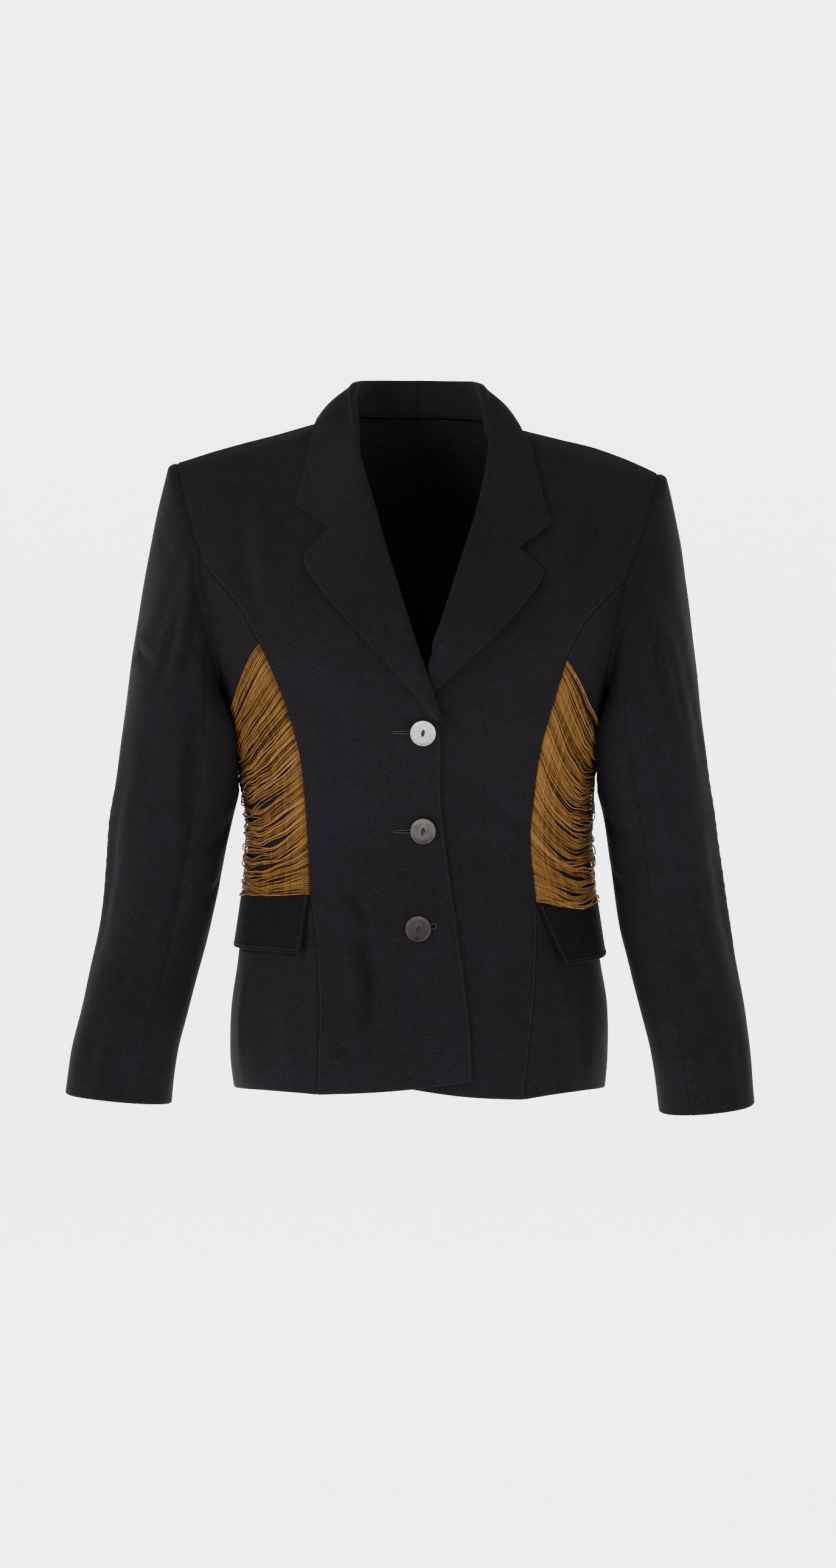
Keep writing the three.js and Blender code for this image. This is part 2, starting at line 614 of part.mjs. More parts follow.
// ---------- sleeves ----------
// Keeps a point of the sleeve clear of the body's side, below the armhole.
function clearOfBody(point, side) {
  const belowArmhole = THREE.MathUtils.smoothstep(UNDERARM_Z - point.z, 0, UNDERARM_FADE);
  if (belowArmhole === 0) return point;
  const flat = vec(point.x, point.y - SIDE_Y, 0);
  const around = Math.atan2(flat.x, -flat.y) / DEG;
  const body = skin(around, point.z);
  const room = Math.hypot(body.x, body.y - SIDE_Y) + SLEEVE_CLEAR;
  const reach = flat.length();
  if (reach >= room || Math.sign(point.x) !== sign(side)) return point;
  flat.multiplyScalar(mix(1, room / reach, belowArmhole));
  return vec(flat.x, flat.y + SIDE_Y, point.z);
}

function sleeveGrid(side) {
  const to = sign(side);
  const armOut = smooth(ARM, 'z', `${side}Out`);
  const armIn = smooth(ARM, 'z', `${side}In`);
  const armFront = smooth(ARM, 'z', 'front');
  const armBack = smooth(ARM, 'z', 'back');
  const turnAt = smooth(ROUND_SLEEVE, 'x', 'turn');
  const ringPoint = (turn, z) => {
    const away = Math.cos(turn * DEG);
    const forward = Math.sin(turn * DEG);
    const radius = (Math.abs(away) ** ARM_POWER + Math.abs(forward) ** ARM_POWER) ** (-1 / ARM_POWER);
    const middle = (armOut(z) + armIn(z)) / 2;
    const half = (armOut(z) - armIn(z)) / 2;
    const y = (armFront(z) + armBack(z)) / 2 - forward * radius * (armBack(z) - armFront(z)) / 2;
    return vec(to * (middle + half * radius * away), y, z);
  };
  const columns = armhole[side].map((spot, i) => {
    const turn = turnAt(i / ARMHOLE_SPLIT);
    const seam = i % (armhole[side].length - 1) === 0
      ? ridgePoint(to * ARMHOLE[side][0].x, false).add(vec(0, SEAM / 2, 0))
      : onBody(spot.around, spot.z, 0);
    const round = vec(0, -Math.sin(turn * DEG), Math.cos(turn * DEG));
    const underneath = (1 - Math.cos(turn * DEG)) / 2;
    const off = mix(SEAM_START.top, SEAM_START.under, underneath);
    const start = seam.clone().add(vec(to * off, 0, SEAM_START.lower * underneath));
    const roll = mix(1, HEAD.under, underneath);
    const head = seam.clone()
      .add(vec(to * HEAD.out * roll, 0, -HEAD.down))
      .addScaledVector(round, HEAD.round * roll);
    const upper = ringPoint(turn, BICEP_Z);
    const length = upper.distanceTo(head);
    const forward = -CAP_LEAVE.forward * Math.sin(turn * DEG);
    const outward = mix(CAP_LEAVE.out, CAP_LEAVE.outUnder, underneath);
    const leave = vec(to * outward, forward, -CAP_LEAVE.down).multiplyScalar(length);
    const arrive = vec(to * CAP_ARRIVE.out, 0, -CAP_ARRIVE.down).multiplyScalar(length);
    const column = [start, head];
    for (let k = 1; k < CAP_ROWS; k += 1) {
      const t = k / CAP_ROWS;
      const point = vec(0, 0, 0)
        .addScaledVector(head, 2 * t ** 3 - 3 * t ** 2 + 1)
        .addScaledVector(leave, t ** 3 - 2 * t ** 2 + t)
        .addScaledVector(upper, 3 * t ** 2 - 2 * t ** 3)
        .addScaledVector(arrive, t ** 3 - t ** 2);
      column.push(point);
    }
    const { out, inner, front } = CUFF[side];
    const cuffSide = mix(out, inner, underneath);
    const cuffFront = (front - (out + inner) / 2) * Math.max(Math.sin(turn * DEG), 0);
    const cuffZ = cuffSide + cuffFront;
    for (let k = 0; k <= LOWER_ROWS; k += 1) {
      column.push(ringPoint(turn, mix(BICEP_Z, cuffZ, k / LOWER_ROWS)));
    }
    return column.map((point, k) => (k < 2 ? point : clearOfBody(point, side)));
  });
  return columns[0].map((_, r) => columns.map((column) => column[r]));
}

function sleeve(side) {
  const outer = sleeveGrid(side);
  const normals = gridNormals(outer, true);
  const inner = offsetGrid(outer, normals, sign(side) * SLEEVE_CLOTH);
  const seamCut = (grid, from, to) => grid.map((row) => {
    const count = row.length - 1;
    const picked = [];
    for (let c = from; c <= to; c += 1) picked.push(row[(c + count) % count].clone());
    const nudge = (end, next) => end.lerp(next, SEAM / 2 / end.distanceTo(next));
    nudge(picked[0], picked[1]);
    nudge(picked[picked.length - 1], picked[picked.length - 2]);
    return picked;
  });
  const round = outer[0].length - 1;
  const { from, to } = UNDER_SLEEVE;
  add(`${side}_under_sleeve`, wallBetween(seamCut(outer, from, to), seamCut(inner, from, to)), BLACK);
  const upper = [to - round, from];
  add(`${side}_upper_sleeve`, wallBetween(seamCut(outer, ...upper), seamCut(inner, ...upper)), BLACK);
}

// ---------- lapels and collar ----------
function lapelRow(row, side) {
  const [foldX, foldZ] = row.fold;
  const [edgeX, edgeZ] = row.edge;
  if (row.y === undefined) {
    const width = Math.hypot(edgeX - foldX, edgeZ - foldZ);
    return ROLL.map(({ share, beyond, high: rolled }, i) => {
      const along = row.flat ? i / (ROLL.length - 1) : share + beyond / width;
      const high = row.flat ? LAPEL_FLAT : rolled;
      const x = mix(foldX, edgeX, along);
      const z = mix(foldZ, edgeZ, along);
      return onBody(aroundAt(x, z), z, high + overlapShift(side, x, z));
    });
  }
  const fold = vec(foldX, row.y, foldZ);
  const edge = vec(edgeX, row.edgeY, edgeZ);
  const stand = vec(...row.stand);
  const outward = edge.clone().sub(stand).setZ(0).normalize();
  const below = fold.clone().sub(vec(0, 0, FOLD_RADIUS));
  const behind = below.clone().addScaledVector(outward, -FOLD_RADIUS);
  const ahead = below.clone().addScaledVector(outward, FOLD_RADIUS);
  const fall = ROLL.slice(4).map(({ share }) => {
    const belly = Math.sin(share * Math.PI) * COLLAR_BELLY;
    return ahead.clone().lerp(edge, share).addScaledVector(outward, belly).add(vec(0, 0, belly));
  });
  return [stand, behind, fold, ahead, ...fall];
}

function lapel(side) {
  const outer = LAPEL[side].map((row) => lapelRow(row, side));
  const last = outer[outer.length - 1];
  last.forEach((point) => point.add(vec(sign(side) * SEAM / 2, 0, 0)));
  const inner = offsetGrid(outer, gridNormals(outer), sign(side) * LAPEL_CLOTH);
  inner[inner.length - 1].forEach((point, c) => point.setX(last[c].x));
  add(`${side}_lapel_and_collar`, wallBetween(outer, inner), BLACK);
}

// ---------- pocket flaps ----------
function flap(side) {
  const to = sign(side);
  const { top, bottom, frontSlant, kick } = FLAP[side];
  const seamX = smooth(SIDE_SEAMS, 'z', side);
  const grid = (depth) => Array.from({ length: FLAP_ROWS + 1 }, (_, r) => {
    const down = r / FLAP_ROWS;
    return Array.from({ length: FLAP_COLUMNS + 1 }, (__, c) => {
      const back = c / FLAP_COLUMNS;
      const z = mix(mix(top[0], top[1], back), mix(bottom[0], bottom[1], back), down);
      const front = aroundAt(to * (seamX(top[0]) + 1 + frontSlant * down), z);
      const swing = mix(kick[0], kick[1], back) * down ** FLAP_CURL;
      return onBody(mix(front, to * FLAP_BACK, back), z, FLAP_CLOTH + FLAP_LIFT + swing - depth);
    });
  });
  add(`${side}_pocket_flap`, wallBetween(grid(0), grid(FLAP_CLOTH)), BLACK);
}

// ---------- gold cords ----------
const wasm = await Module();
wasm.setup();

function solid(geometry) {
  const bare = geometry.clone();
  bare.deleteAttribute('normal');
  bare.deleteAttribute('uv');
  const merged = mergeVertices(bare, 1e-4);
  return new wasm.Manifold(new wasm.Mesh({
    numProp: 3,
    vertProperties: merged.attributes.position.array,
    triVerts: new Uint32Array(merged.index.array),
  }));
}

function geometryOf(manifold) {
  const { numProp, vertProperties, triVerts } = manifold.getMesh();
  const geometry = new THREE.BufferGeometry();
  const positions = new Float32Array(vertProperties);
  geometry.setAttribute('position', new THREE.BufferAttribute(positions, numProp));
  geometry.setIndex(new THREE.BufferAttribute(triVerts, 1));
  return geometry;
}

// A wobble between -1 and 1 that is the same in every run.
const wobble = (seed) => Math.sin(seed * 12.9898) * Math.cos(seed * 4.1414 + 1.7);

// The field of cords: how high each one lies at its front root, back root and on the way.
function cordPaths(side) {
  const to = sign(side);
  const field = CORD_FIELD[side];
  const above = { z: SEAM_ABOVE_CORDS.z, [side]: SIDE_SEAMS[2][side] + SEAM_ABOVE_CORDS.out };
  const frontX = smooth([above, ...SIDE_SEAMS.slice(2)], 'z', side);
  const backX = smooth(SIDE_SEAMS, 'z', `${side}Back`);
  const sagShape = (share) => {
    const low = field.lowest;
    const away = share < low ? (low - share) / low : (share - low) / (1 - low);
    return 1 - away ** 2;
  };
  const heights = [];
  for (let i = 0; i < CORDS; i += 1) {
    const down = i / (CORDS - 1);
    const loose = 1 + CORD_LOOSE * wobble(i * 0.83) * (1 - down);
    heights.push(Array.from({ length: CORD_STEPS + 1 }, (_, k) => {
      const share = k / CORD_STEPS;
      const front = mix(field.top, field.bottom, down);
      const back = mix(field.backTop, field.bottom, down);
      const sag = field.sag * (1 - down) ** CORD_SAG_POWER * loose * sagShape(share);
      const free = mix(front, back, share) - sag;
      const ceiling = i === 0 ? Infinity : heights[i - 1][k] - CORD_CLOSEST;
      const floor = field.bottom - STRIP.over + (CORDS - 1 - i) * CORD_CLOSEST * CORD_REST;
      return Math.max(Math.min(free, ceiling), floor);
    }));
  }
  return heights.map((row, i) => row.map((z, k) => {
    const share = k / CORD_STEPS;
    const front = aroundAt(to * (frontX(row[0]) + STRIP.beside), row[0]);
    const back = aroundAt(to * (backX(row[CORD_STEPS]) + STRIP.beside), row[CORD_STEPS], true);
    const proud = CORD_LIFT + CORD_RADIUS + field.slack * sagShape(share) * (1 - i / CORDS) ** 0.5;
    return { around: mix(front, back, share), z, high: proud };
  }));
}

// A three-sided cord through a row of spots.
function cordGeometry(path) {
  const middle = path.map(({ around, z, high }) => onBody(around, z, high));
  const rings = middle.map((point, k) => {
    const { around, z } = path[k];
    const outward = onBody(around, z, 1).sub(onBody(around, z, 0));
    const next = middle[Math.min(k + 1, middle.length - 1)];
    const ahead = next.clone().sub(middle[Math.max(k - 1, 0)]).normalize();
    const sideways = ahead.clone().cross(outward).normalize();
    return [90, 210, 330].map((turn) => point.clone()
      .addScaledVector(outward, CORD_RADIUS * Math.sin(turn * DEG))
      .addScaledVector(sideways, CORD_RADIUS * Math.cos(turn * DEG)));
  });
  const faces = [0, 1, 2];
  for (let k = 0; k < rings.length - 1; k += 1) {
    for (let s = 0; s < 3; s += 1) {
      const [a, b] = [k * 3 + s, k * 3 + ((s + 1) % 3)];
      faces.push(a, a + 3, b, b, a + 3, b + 3);
    }
  }
  const end = (rings.length - 1) * 3;
  faces.push(end, end + 2, end + 1);
  return closed(rings.flat(), faces);
}

// The narrow strip that holds the roots, down one seam.
function cordStrip(paths, pick) {
  const roots = paths.map((path) => path[pick]);
  const first = { ...roots[0], z: roots[0].z + STRIP.over };
  const last = { ...roots[roots.length - 1], z: roots[roots.length - 1].z - STRIP.under };
  const picked = [first, ...roots.filter((_, i) => i % STRIP.every === 2), last];
  const grid = (high) => picked.map(({ around, z }) => [-1, 1].map((way) => {
    const turn = (STRIP.width / 2 / STRIP.reach) / DEG;
    return onBody(around + way * turn, z, high);
  }));
  return wallBetween(grid(CORD_LIFT + STRIP.thick), grid(CORD_LIFT - STRIP.sunk));
}

function goldCords(side) {
  const paths = cordPaths(side);
  const pieces = [
    solid(cordStrip(paths, 0)),
    solid(cordStrip(paths, CORD_STEPS)),
    ...paths.map((path) => solid(cordGeometry(path))),
  ];
  const joined = pieces.reduce((whole, piece) => whole.add(piece));
  add(`${side}_gold_cords`, geometryOf(joined), GOLD, 0.6);
}

// ---------- buttons ----------
function button({ name, x, z, shank, colour }) {
  const radius = BUTTON_DIAMETER / 2 - BUTTON_EDGE.wide;
  const disc = new THREE.Shape().absarc(0, 0, radius, 0, 2 * Math.PI);
  const slot = new THREE.Path().absellipse(
    0, 0, BUTTON_SLOT.width / 2, BUTTON_SLOT.length / 2, 0, 2 * Math.PI, true, -BUTTON_SLOT.tilt,
  );
  disc.holes.push(slot);
  const geometry = new THREE.ExtrudeGeometry(disc, {
    depth: BUTTON_THICK - 2 * BUTTON_EDGE.deep,
    bevelSize: BUTTON_EDGE.wide,
    bevelThickness: BUTTON_EDGE.deep,
    bevelSegments: 1,
    curveSegments: 10,
  });
  const around = aroundAt(x, z);
  const high = overlapShift('right', x, z);
  const out = onBody(around, z, 1).sub(onBody(around, z, 0)).normalize();
  const disk = add(name, geometry, colour, 0.35, 0.9);
  disk.position.copy(onBody(around, z, high + shank + BUTTON_EDGE.deep));
  disk.quaternion.setFromUnitVectors(vec(0, 0, 1), out);
}

for (const side of ['right', 'left']) {
  frontPanel(side);
  sidePanel(side);
  backPanel(side);
  sleeve(side);
  lapel(side);
  flap(side);
  goldCords(side);
}
BUTTONS.forEach(button);

export default group;
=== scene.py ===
import math
import bpy
import numpy as np
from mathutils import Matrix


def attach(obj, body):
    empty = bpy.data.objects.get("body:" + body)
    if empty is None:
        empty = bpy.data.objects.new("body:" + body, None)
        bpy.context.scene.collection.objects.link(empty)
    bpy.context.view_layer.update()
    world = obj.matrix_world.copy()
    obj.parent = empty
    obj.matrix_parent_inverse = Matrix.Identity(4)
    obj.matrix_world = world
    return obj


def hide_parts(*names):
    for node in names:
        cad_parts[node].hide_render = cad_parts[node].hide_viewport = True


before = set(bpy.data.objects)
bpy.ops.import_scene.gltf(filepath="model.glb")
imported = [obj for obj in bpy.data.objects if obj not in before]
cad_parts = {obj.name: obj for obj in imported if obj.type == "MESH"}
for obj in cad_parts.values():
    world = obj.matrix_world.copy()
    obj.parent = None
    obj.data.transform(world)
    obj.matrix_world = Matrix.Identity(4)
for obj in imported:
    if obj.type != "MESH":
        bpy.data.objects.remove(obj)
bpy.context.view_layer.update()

# ---- Room and camera ------------------------------------------------------
# A white studio sweep with soft lamps, and a long lens held level with the
# waist, so the whole blazer stands upright and square to the view.
VIEW_HEIGHT = 1.4297
VIEW_MIDDLE = (-0.0005, -0.3265)
CAMERA_AWAY = 8.0
FLOOR_Z = -1.42

camera_data = bpy.data.cameras.new("camera")
camera_data.sensor_width = 36
camera_data.lens = 36 * CAMERA_AWAY / VIEW_HEIGHT
camera = bpy.data.objects.new("camera", camera_data)
camera.location = (VIEW_MIDDLE[0], -0.06 - CAMERA_AWAY, VIEW_MIDDLE[1])
camera.rotation_euler = (math.radians(90), 0, 0)
bpy.context.scene.collection.objects.link(camera)
bpy.context.scene.camera = camera

sweep_line = [(-14.0, FLOOR_Z)]
sweep_line += [
    (9.0 + 3.0 * math.sin(turn), FLOOR_Z + 3.0 - 3.0 * math.cos(turn))
    for turn in np.linspace(0, math.pi / 2, 25)
]
sweep_line += [(12.0, 9.0)]
sweep_points = [(x, y, z) for y, z in sweep_line for x in (-14, 14)]
sweep_faces = [(i, i + 1, i + 3, i + 2) for i in range(0, len(sweep_points) - 2, 2)]
sweep_mesh = bpy.data.meshes.new("sweep")
sweep_mesh.from_pydata(sweep_points, [], sweep_faces)
sweep_mesh.polygons.foreach_set("use_smooth", [True] * len(sweep_faces))
sweep = bpy.data.objects.new("sweep", sweep_mesh)
bpy.context.scene.collection.objects.link(sweep)
sweep_paint = bpy.data.materials.new("sweep_paint")
sweep_paint.use_nodes = True
sweep_shader = sweep_paint.node_tree.nodes["Principled BSDF"]
sweep_shader.inputs["Base Color"].default_value = (0.93, 0.93, 0.93, 1)
sweep_shader.inputs["Roughness"].default_value = 0.9
sweep_shader.inputs["Emission Color"].default_value = (1, 1, 1, 1)
sweep_shader.inputs["Emission Strength"].default_value = 3.0
sweep_mesh.materials.append(sweep_paint)

# where, which point it faces, width, height, watts
LAMPS = [
    ("key", (-3.3, -2.6, 1.9), (0, 0, -0.25), 1.3, 1.6, 210),
    ("fill", (2.6, -3.6, 0.7), (0, 0, -0.3), 1.8, 2.4, 60),
    ("top", (0, -0.6, 3.0), (0, 0, -0.2), 2.6, 1.6, 60),
    ("sweep_left", (-3.4, 1.2, 1.4), (0, 3, -0.2), 1.8, 2.6, 120),
    ("sweep_right", (3.4, 1.2, 1.4), (0, 3, -0.2), 1.8, 2.6, 120),
]
for lamp_name, lamp_place, lamp_target, lamp_wide, lamp_tall, lamp_watts in LAMPS:
    lamp_data = bpy.data.lights.new(lamp_name, "AREA")
    lamp_data.shape = "RECTANGLE"
    lamp_data.size = lamp_wide
    lamp_data.size_y = lamp_tall
    lamp_data.energy = lamp_watts
    lamp = bpy.data.objects.new(lamp_name, lamp_data)
    lamp.location = lamp_place
    aim = np.array(lamp_target, float) - np.array(lamp_place, float)
    flat_away = math.hypot(aim[0], aim[1])
    lamp.rotation_euler = (math.atan2(flat_away, -aim[2]), 0, math.atan2(-aim[0], aim[1]))
    bpy.context.scene.collection.objects.link(lamp)
world = bpy.data.worlds.new("studio")
world.use_nodes = True
world.node_tree.nodes["Background"].inputs["Color"].default_value = (1, 1, 1, 1)
world.node_tree.nodes["Background"].inputs["Strength"].default_value = 0.35
bpy.context.scene.world = world


# ---- Fronts ----------------------------------------------------------------
# Two long front pieces of near-black wool crepe, cut from shoulder seam to
# hem with a bust dart taken into the princess seam; the right one laps over
# the left, and each free edge is turned and stitched.
CLOTH_THICK = 2.0
SEAM_GAP = 0.0
RING_POWER = 2.4
SIDE_Y = 5
SHOULDER_ROUND = 200
SHOULDER_POWER = 1.4
NECK_HALF = 70
NECK_FRONT = 60
NECK_BACK = 55
NECK_BACK_POWER = 0.7
NECK_SOFT_HALF = 120
NECK_SOFT_DROP = 80


def columns(names, *rows):
    """A short table: each named column as an array."""
    return {name: np.array([row[i] for row in rows], float) for i, name in enumerate(names.split())}


def smooth(table, by, column):
    """A smooth curve through one column of a table that is sorted by another."""
    order = np.argsort(table[by])
    at, value = table[by][order], table[column][order]
    before, after = np.r_[0, 0:len(at) - 1], np.r_[1:len(at), len(at) - 1]
    slope = (value[after] - value[before]) / (at[after] - at[before])

    def curve(where):
        place = np.clip(where, at[0], at[-1])
        i = np.clip(np.searchsorted(at, place, "right") - 1, 0, len(at) - 2)
        span = at[i + 1] - at[i]
        t = (place - at[i]) / span
        return ((2 * t**3 - 3 * t**2 + 1) * value[i] + (t**3 - 2 * t**2 + t) * span * slope[i]
                + (3 * t**2 - 2 * t**3) * value[i + 1] + (t**3 - t**2) * span * slope[i + 1])
    return curve


def mix(a, b, share):
    return a + (b - a) * share


def ease(value, low, high):
    t = np.clip((value - low) / (high - low), 0, 1)
    return t * t * (3 - 2 * t)


# level sections of the body: half widths and front and back reach, in mm
BODY = columns(
    "z right left front back",
    (25, 300, 300, -98, 112), (-30, 295, 295, -98, 112), (-73, 280, 275, -98, 112),
    (-105, 262, 249, -101, 112), (-140, 240, 224, -109, 112), (-190, 208, 197, -121, 109),
    (-236, 184, 176, -124.5, 103), (-270, 174, 168.5, -122, 98), (-305, 165, 161.5, -116, 91),
    (-340, 158.5, 158.5, -110, 86), (-377, 157, 157.5, -106, 84), (-415, 159, 160, -107, 88),
    (-450, 162.5, 163.5, -110, 95), (-485, 166, 166.5, -113, 102), (-530, 172, 173.5, -117, 111),
    (-575, 173, 174, -120, 117), (-615, 168, 171, -121, 120),
)
# height of the shoulder seam by distance from the middle
SHOULDER = columns(
    "x right left",
    (0, 12, 12), (40, 12, 10), (70, 12, 6), (91, 6, 0), (131, -5.5, -10), (160, -13, -17),
    (187, -20.5, -26.5), (209, -27.5, -36), (226, -33.5, -44.5), (300, -70, -80),
)
half_width = {side: smooth(BODY, "z", side) for side in ("right", "left")}
shoulder_z = {side: smooth(SHOULDER, "x", side) for side in ("right", "left")}
front_reach, back_reach = smooth(BODY, "z", "front"), smooth(BODY, "z", "back")


def sign(side):
    return -1 if side == "right" else 1


def by_side(table, at, is_right):
    return np.where(is_right, table["right"](at), table["left"](at))


def ridge_y(x, behind, drop=0.0):
    in_neck = np.maximum(1 - (x / NECK_HALF) ** 2, 0)
    spread = np.maximum(1 - (x / NECK_SOFT_HALF) ** 2, 0) ** 2
    rim = np.where(behind, NECK_BACK * in_neck**NECK_BACK_POWER, NECK_FRONT * in_neck)
    soft = np.where(behind, NECK_BACK, NECK_FRONT) * spread
    reach = mix(rim, soft, ease(drop, 0, NECK_SOFT_DROP))
    return np.where(behind, SIDE_Y + reach, SIDE_Y - reach)


def depth_at(z, behind):
    return np.where(behind, back_reach(z) - SIDE_Y, SIDE_Y - front_reach(z))


def skin(around, z):
    """Points of the body's skin, by angle from the front middle and by height."""
    around, z = np.broadcast_arrays(np.asarray(around, float), np.asarray(z, float))
    is_right, behind = around < 0, np.abs(around) > 90
    turn = np.radians(around)
    wide = np.abs(np.sin(turn)) / by_side(half_width, z, is_right)
    deep = np.abs(np.cos(turn)) / depth_at(z, behind)
    radius = (wide**RING_POWER + deep**RING_POWER) ** (-1 / RING_POWER)
    x = radius * np.sin(turn)
    ring = SIDE_Y - radius * np.cos(turn)
    drop = np.maximum(by_side(shoulder_z, np.abs(x), is_right) - z, 0)
    below = np.minimum(drop / SHOULDER_ROUND, 1)
    rounding = (1 - (1 - below) ** SHOULDER_POWER) ** (1 / SHOULDER_POWER)
    return np.stack([x, mix(ridge_y(x, behind, drop), ring, rounding), z], -1)


def unit(vectors):
    return vectors / np.maximum(np.linalg.norm(vectors, axis=-1, keepdims=True), 1e-12)


def skin_out(around, z):
    across = skin(around + 0.5, z) - skin(around - 0.5, z)
    upward = skin(around, z + 0.5) - skin(around, z - 0.5)
    return unit(np.cross(across, upward))


def on_body(around, z, high):
    return skin(around, z) + skin_out(around, z) * np.asarray(high)[..., None]


def around_at(x, z, behind=False):
    x, z = np.broadcast_arrays(np.asarray(x, float), np.asarray(z, float))
    share = np.minimum(np.abs(x) / by_side(half_width, z, x < 0), 0.9999)
    y = depth_at(z, behind) * (1 - share**RING_POWER) ** (1 / RING_POWER)
    angle = np.degrees(np.arctan2(np.abs(x), y))
    return np.where(x < 0, -1, 1) * np.where(behind, 180 - angle, angle)


# Soft troughs (minus) and ridges (plus) in the cloth: the line that each one
# follows as (x, z), whether it is on the back, its half width and its depth.
BODY_FOLDS = [
    ([(-66, -424), (-57, -432), (-51, -446), (-47, -460)], False, 5, -4.2),
    ([(-50, -462), (-45, -490), (-42, -512), (-47, -536), (-55, -548)], False, 6, -7.2),
    ([(-64, -540), (-68, -556), (-66, -580)], False, 8, -2.6),
    ([(-60, -470), (-56, -500), (-58, -528)], False, 9, 4.6),
    ([(-30, -470), (-28, -520), (-36, -570)], False, 16, 1.6),
    ([(-78, -440), (-76, -500), (-80, -560)], False, 10, -1.6),
    ([(-163, -70), (-160, -110), (-154, -160)], False, 9, -2.4),
    ([(-146, -75), (-143, -120), (-136, -165)], False, 12, 1.4),
    ([(-168, -116), (-150, -160), (-130, -196)], False, 8, -1.8),
    ([(-96, -80), (-92, -130), (-96, -190)], False, 14, -1.6),
    ([(150, -60), (152, -100), (150, -140)], False, 7, -2.6),
    ([(164, -66), (163, -110), (157, -150)], False, 7, 1.7),
    ([(136, -78), (140, -125), (138, -172)], False, 8, -2.2),
    ([(126, -82), (124, -140), (116, -200)], False, 11, 1.8),
    ([(104, -150), (112, -196), (108, -236)], False, 9, -1.6),
    ([(-146, -500), (-142, -545), (-143, -600)], False, 9, -3.0),
    ([(-122, -500), (-120, -550), (-118, -600)], False, 9, 2.2),
    ([(-132, -498), (-128, -550), (-131, -596)], False, 6, -1.5),
    ([(-160, -500), (-163, -550), (-160, -598)], False, 8, 1.8),
    ([(-108, -512), (-106, -556), (-104, -598)], False, 7, -1.6),
    ([(118, -505), (124, -545), (128, -600)], False, 9, -2.4),
    ([(134, -506), (136, -550), (140, -598)], False, 7, 1.7),
    ([(146, -500), (150, -548), (152, -598)], False, 7, -2.8),
    ([(104, -504), (108, -550), (112, -600)], False, 9, 1.5),
    ([(60, -330), (78, -352), (98, -366)], False, 8, -2.2),
    ([(66, -346), (82, -366), (100, -380)], False, 8, 1.4),
    ([(30, -388), (56, -392), (90, -388)], False, 11, -1.4),
    ([(-40, -300), (-66, -316), (-92, -322)], False, 9, -1.6),
    ([(-36, -356), (-62, -366), (-90, -362)], False, 10, -1.3),
    ([(30, -420), (45, -470), (58, -520)], False, 14, -1.6),
    ([(60, -440), (72, -500), (70, -560)], False, 13, 1.4),
    ([(20, -310), (50, -322), (84, -318)], False, 12, -1.3),
    ([(-98, -196), (-70, -226), (-44, -262)], False, 16, 1.4),
    ([(-104, -230), (-80, -262), (-60, -300)], False, 11, -1.4),
    ([(-150, -190), (-120, -230), (-90, -262)], False, 11, -1.6),
    ([(146, -196), (118, -232), (92, -268)], False, 11, -1.8),
    ([(-120, -120), (-104, -240), (-82, -352)], True, 15, -2.6),
    ([(112, -130), (98, -246), (70, -360)], True, 14, -2.4),
    ([(-86, -180), (-70, -290), (-52, -372)], True, 15, 1.8),
    ([(82, -170), (66, -280), (46, -368)], True, 14, 1.7),
    ([(-150, -100), (-146, -150), (-138, -205)], True, 9, -2.6),
    ([(152, -104), (146, -156), (138, -210)], True, 9, -2.6),
    ([(-96, -352), (-40, -366), (6, -360)], True, 10, -2.6),
    ([(92, -376), (46, -386), (-8, -392)], True, 9, -2.2),
    ([(-60, -430), (-66, -500), (-58, -585)], True, 12, -2.8),
    ([(-36, -440), (-38, -510), (-34, -590)], True, 11, 1.9),
    ([(54, -440), (58, -520), (50, -592)], True, 12, -2.4),
    ([(96, -430), (104, -500), (100, -590)], True, 10, 2.0),
    ([(-108, -440), (-116, -510), (-110, -590)], True, 9, 1.8),
    ([(-60, -18), (-58, -60), (-66, -118)], True, 14, -1.5),
    ([(58, -20), (58, -66), (64, -124)], True, 14, -1.5),
]


def along(points, count):
    """A smooth line through a few points, evenly spaced."""
    points = np.asarray(points, float)
    ends = np.vstack([2 * points[0] - points[1], points, 2 * points[-1] - points[-2]])
    line = []
    for i in range(1, len(ends) - 2):
        a, b, c, d = ends[i - 1:i + 3]
        t = np.linspace(0, 1, 13)[:-1, None]
        line.append(0.5 * (2 * b + (c - a) * t + (2 * a - 5 * b + 4 * c - d) * t**2
                           + (3 * b - a - 3 * c + d) * t**3))
    line = np.vstack(line + [points[-1:]])
    length = np.r_[0, np.cumsum(np.linalg.norm(np.diff(line, axis=0), axis=1))]
    where = np.linspace(0, length[-1], count)
    return np.stack([np.interp(where, length, line[:, k]) for k in range(line.shape[1])], -1)


def fold_height(points, folds):
    """How far a set of troughs and ridges lifts each point off the plain form."""
    lift = np.zeros(points.shape[:-1])
    for line, width, depth in folds:
        near = np.full(lift.shape, 1e9)
        share = np.zeros(lift.shape)
        for i, spot in enumerate(line):
            away = np.linalg.norm(points - spot, axis=-1)
            closer = away < near
            near = np.where(closer, away, near)
            share = np.where(closer, i / (len(line) - 1), share)
        taper = np.sin(np.pi * np.clip(share, 0.04, 0.96)) ** 0.8
        lift += depth * taper * np.exp(-((near / width) ** 2))
    return lift


def slow_wave(points):
    """The slight unevenness that pressing leaves in the cloth."""
    x, y, z = points[..., 0], points[..., 1], points[..., 2]
    return (0.28 * np.sin(x / 21 + 1.3 * np.sin(z / 47)) * np.sin(z / 39 + 0.8)
            + 0.2 * np.sin(x / 11 - z / 17 + y / 13) * np.sin(z / 23 + x / 31))


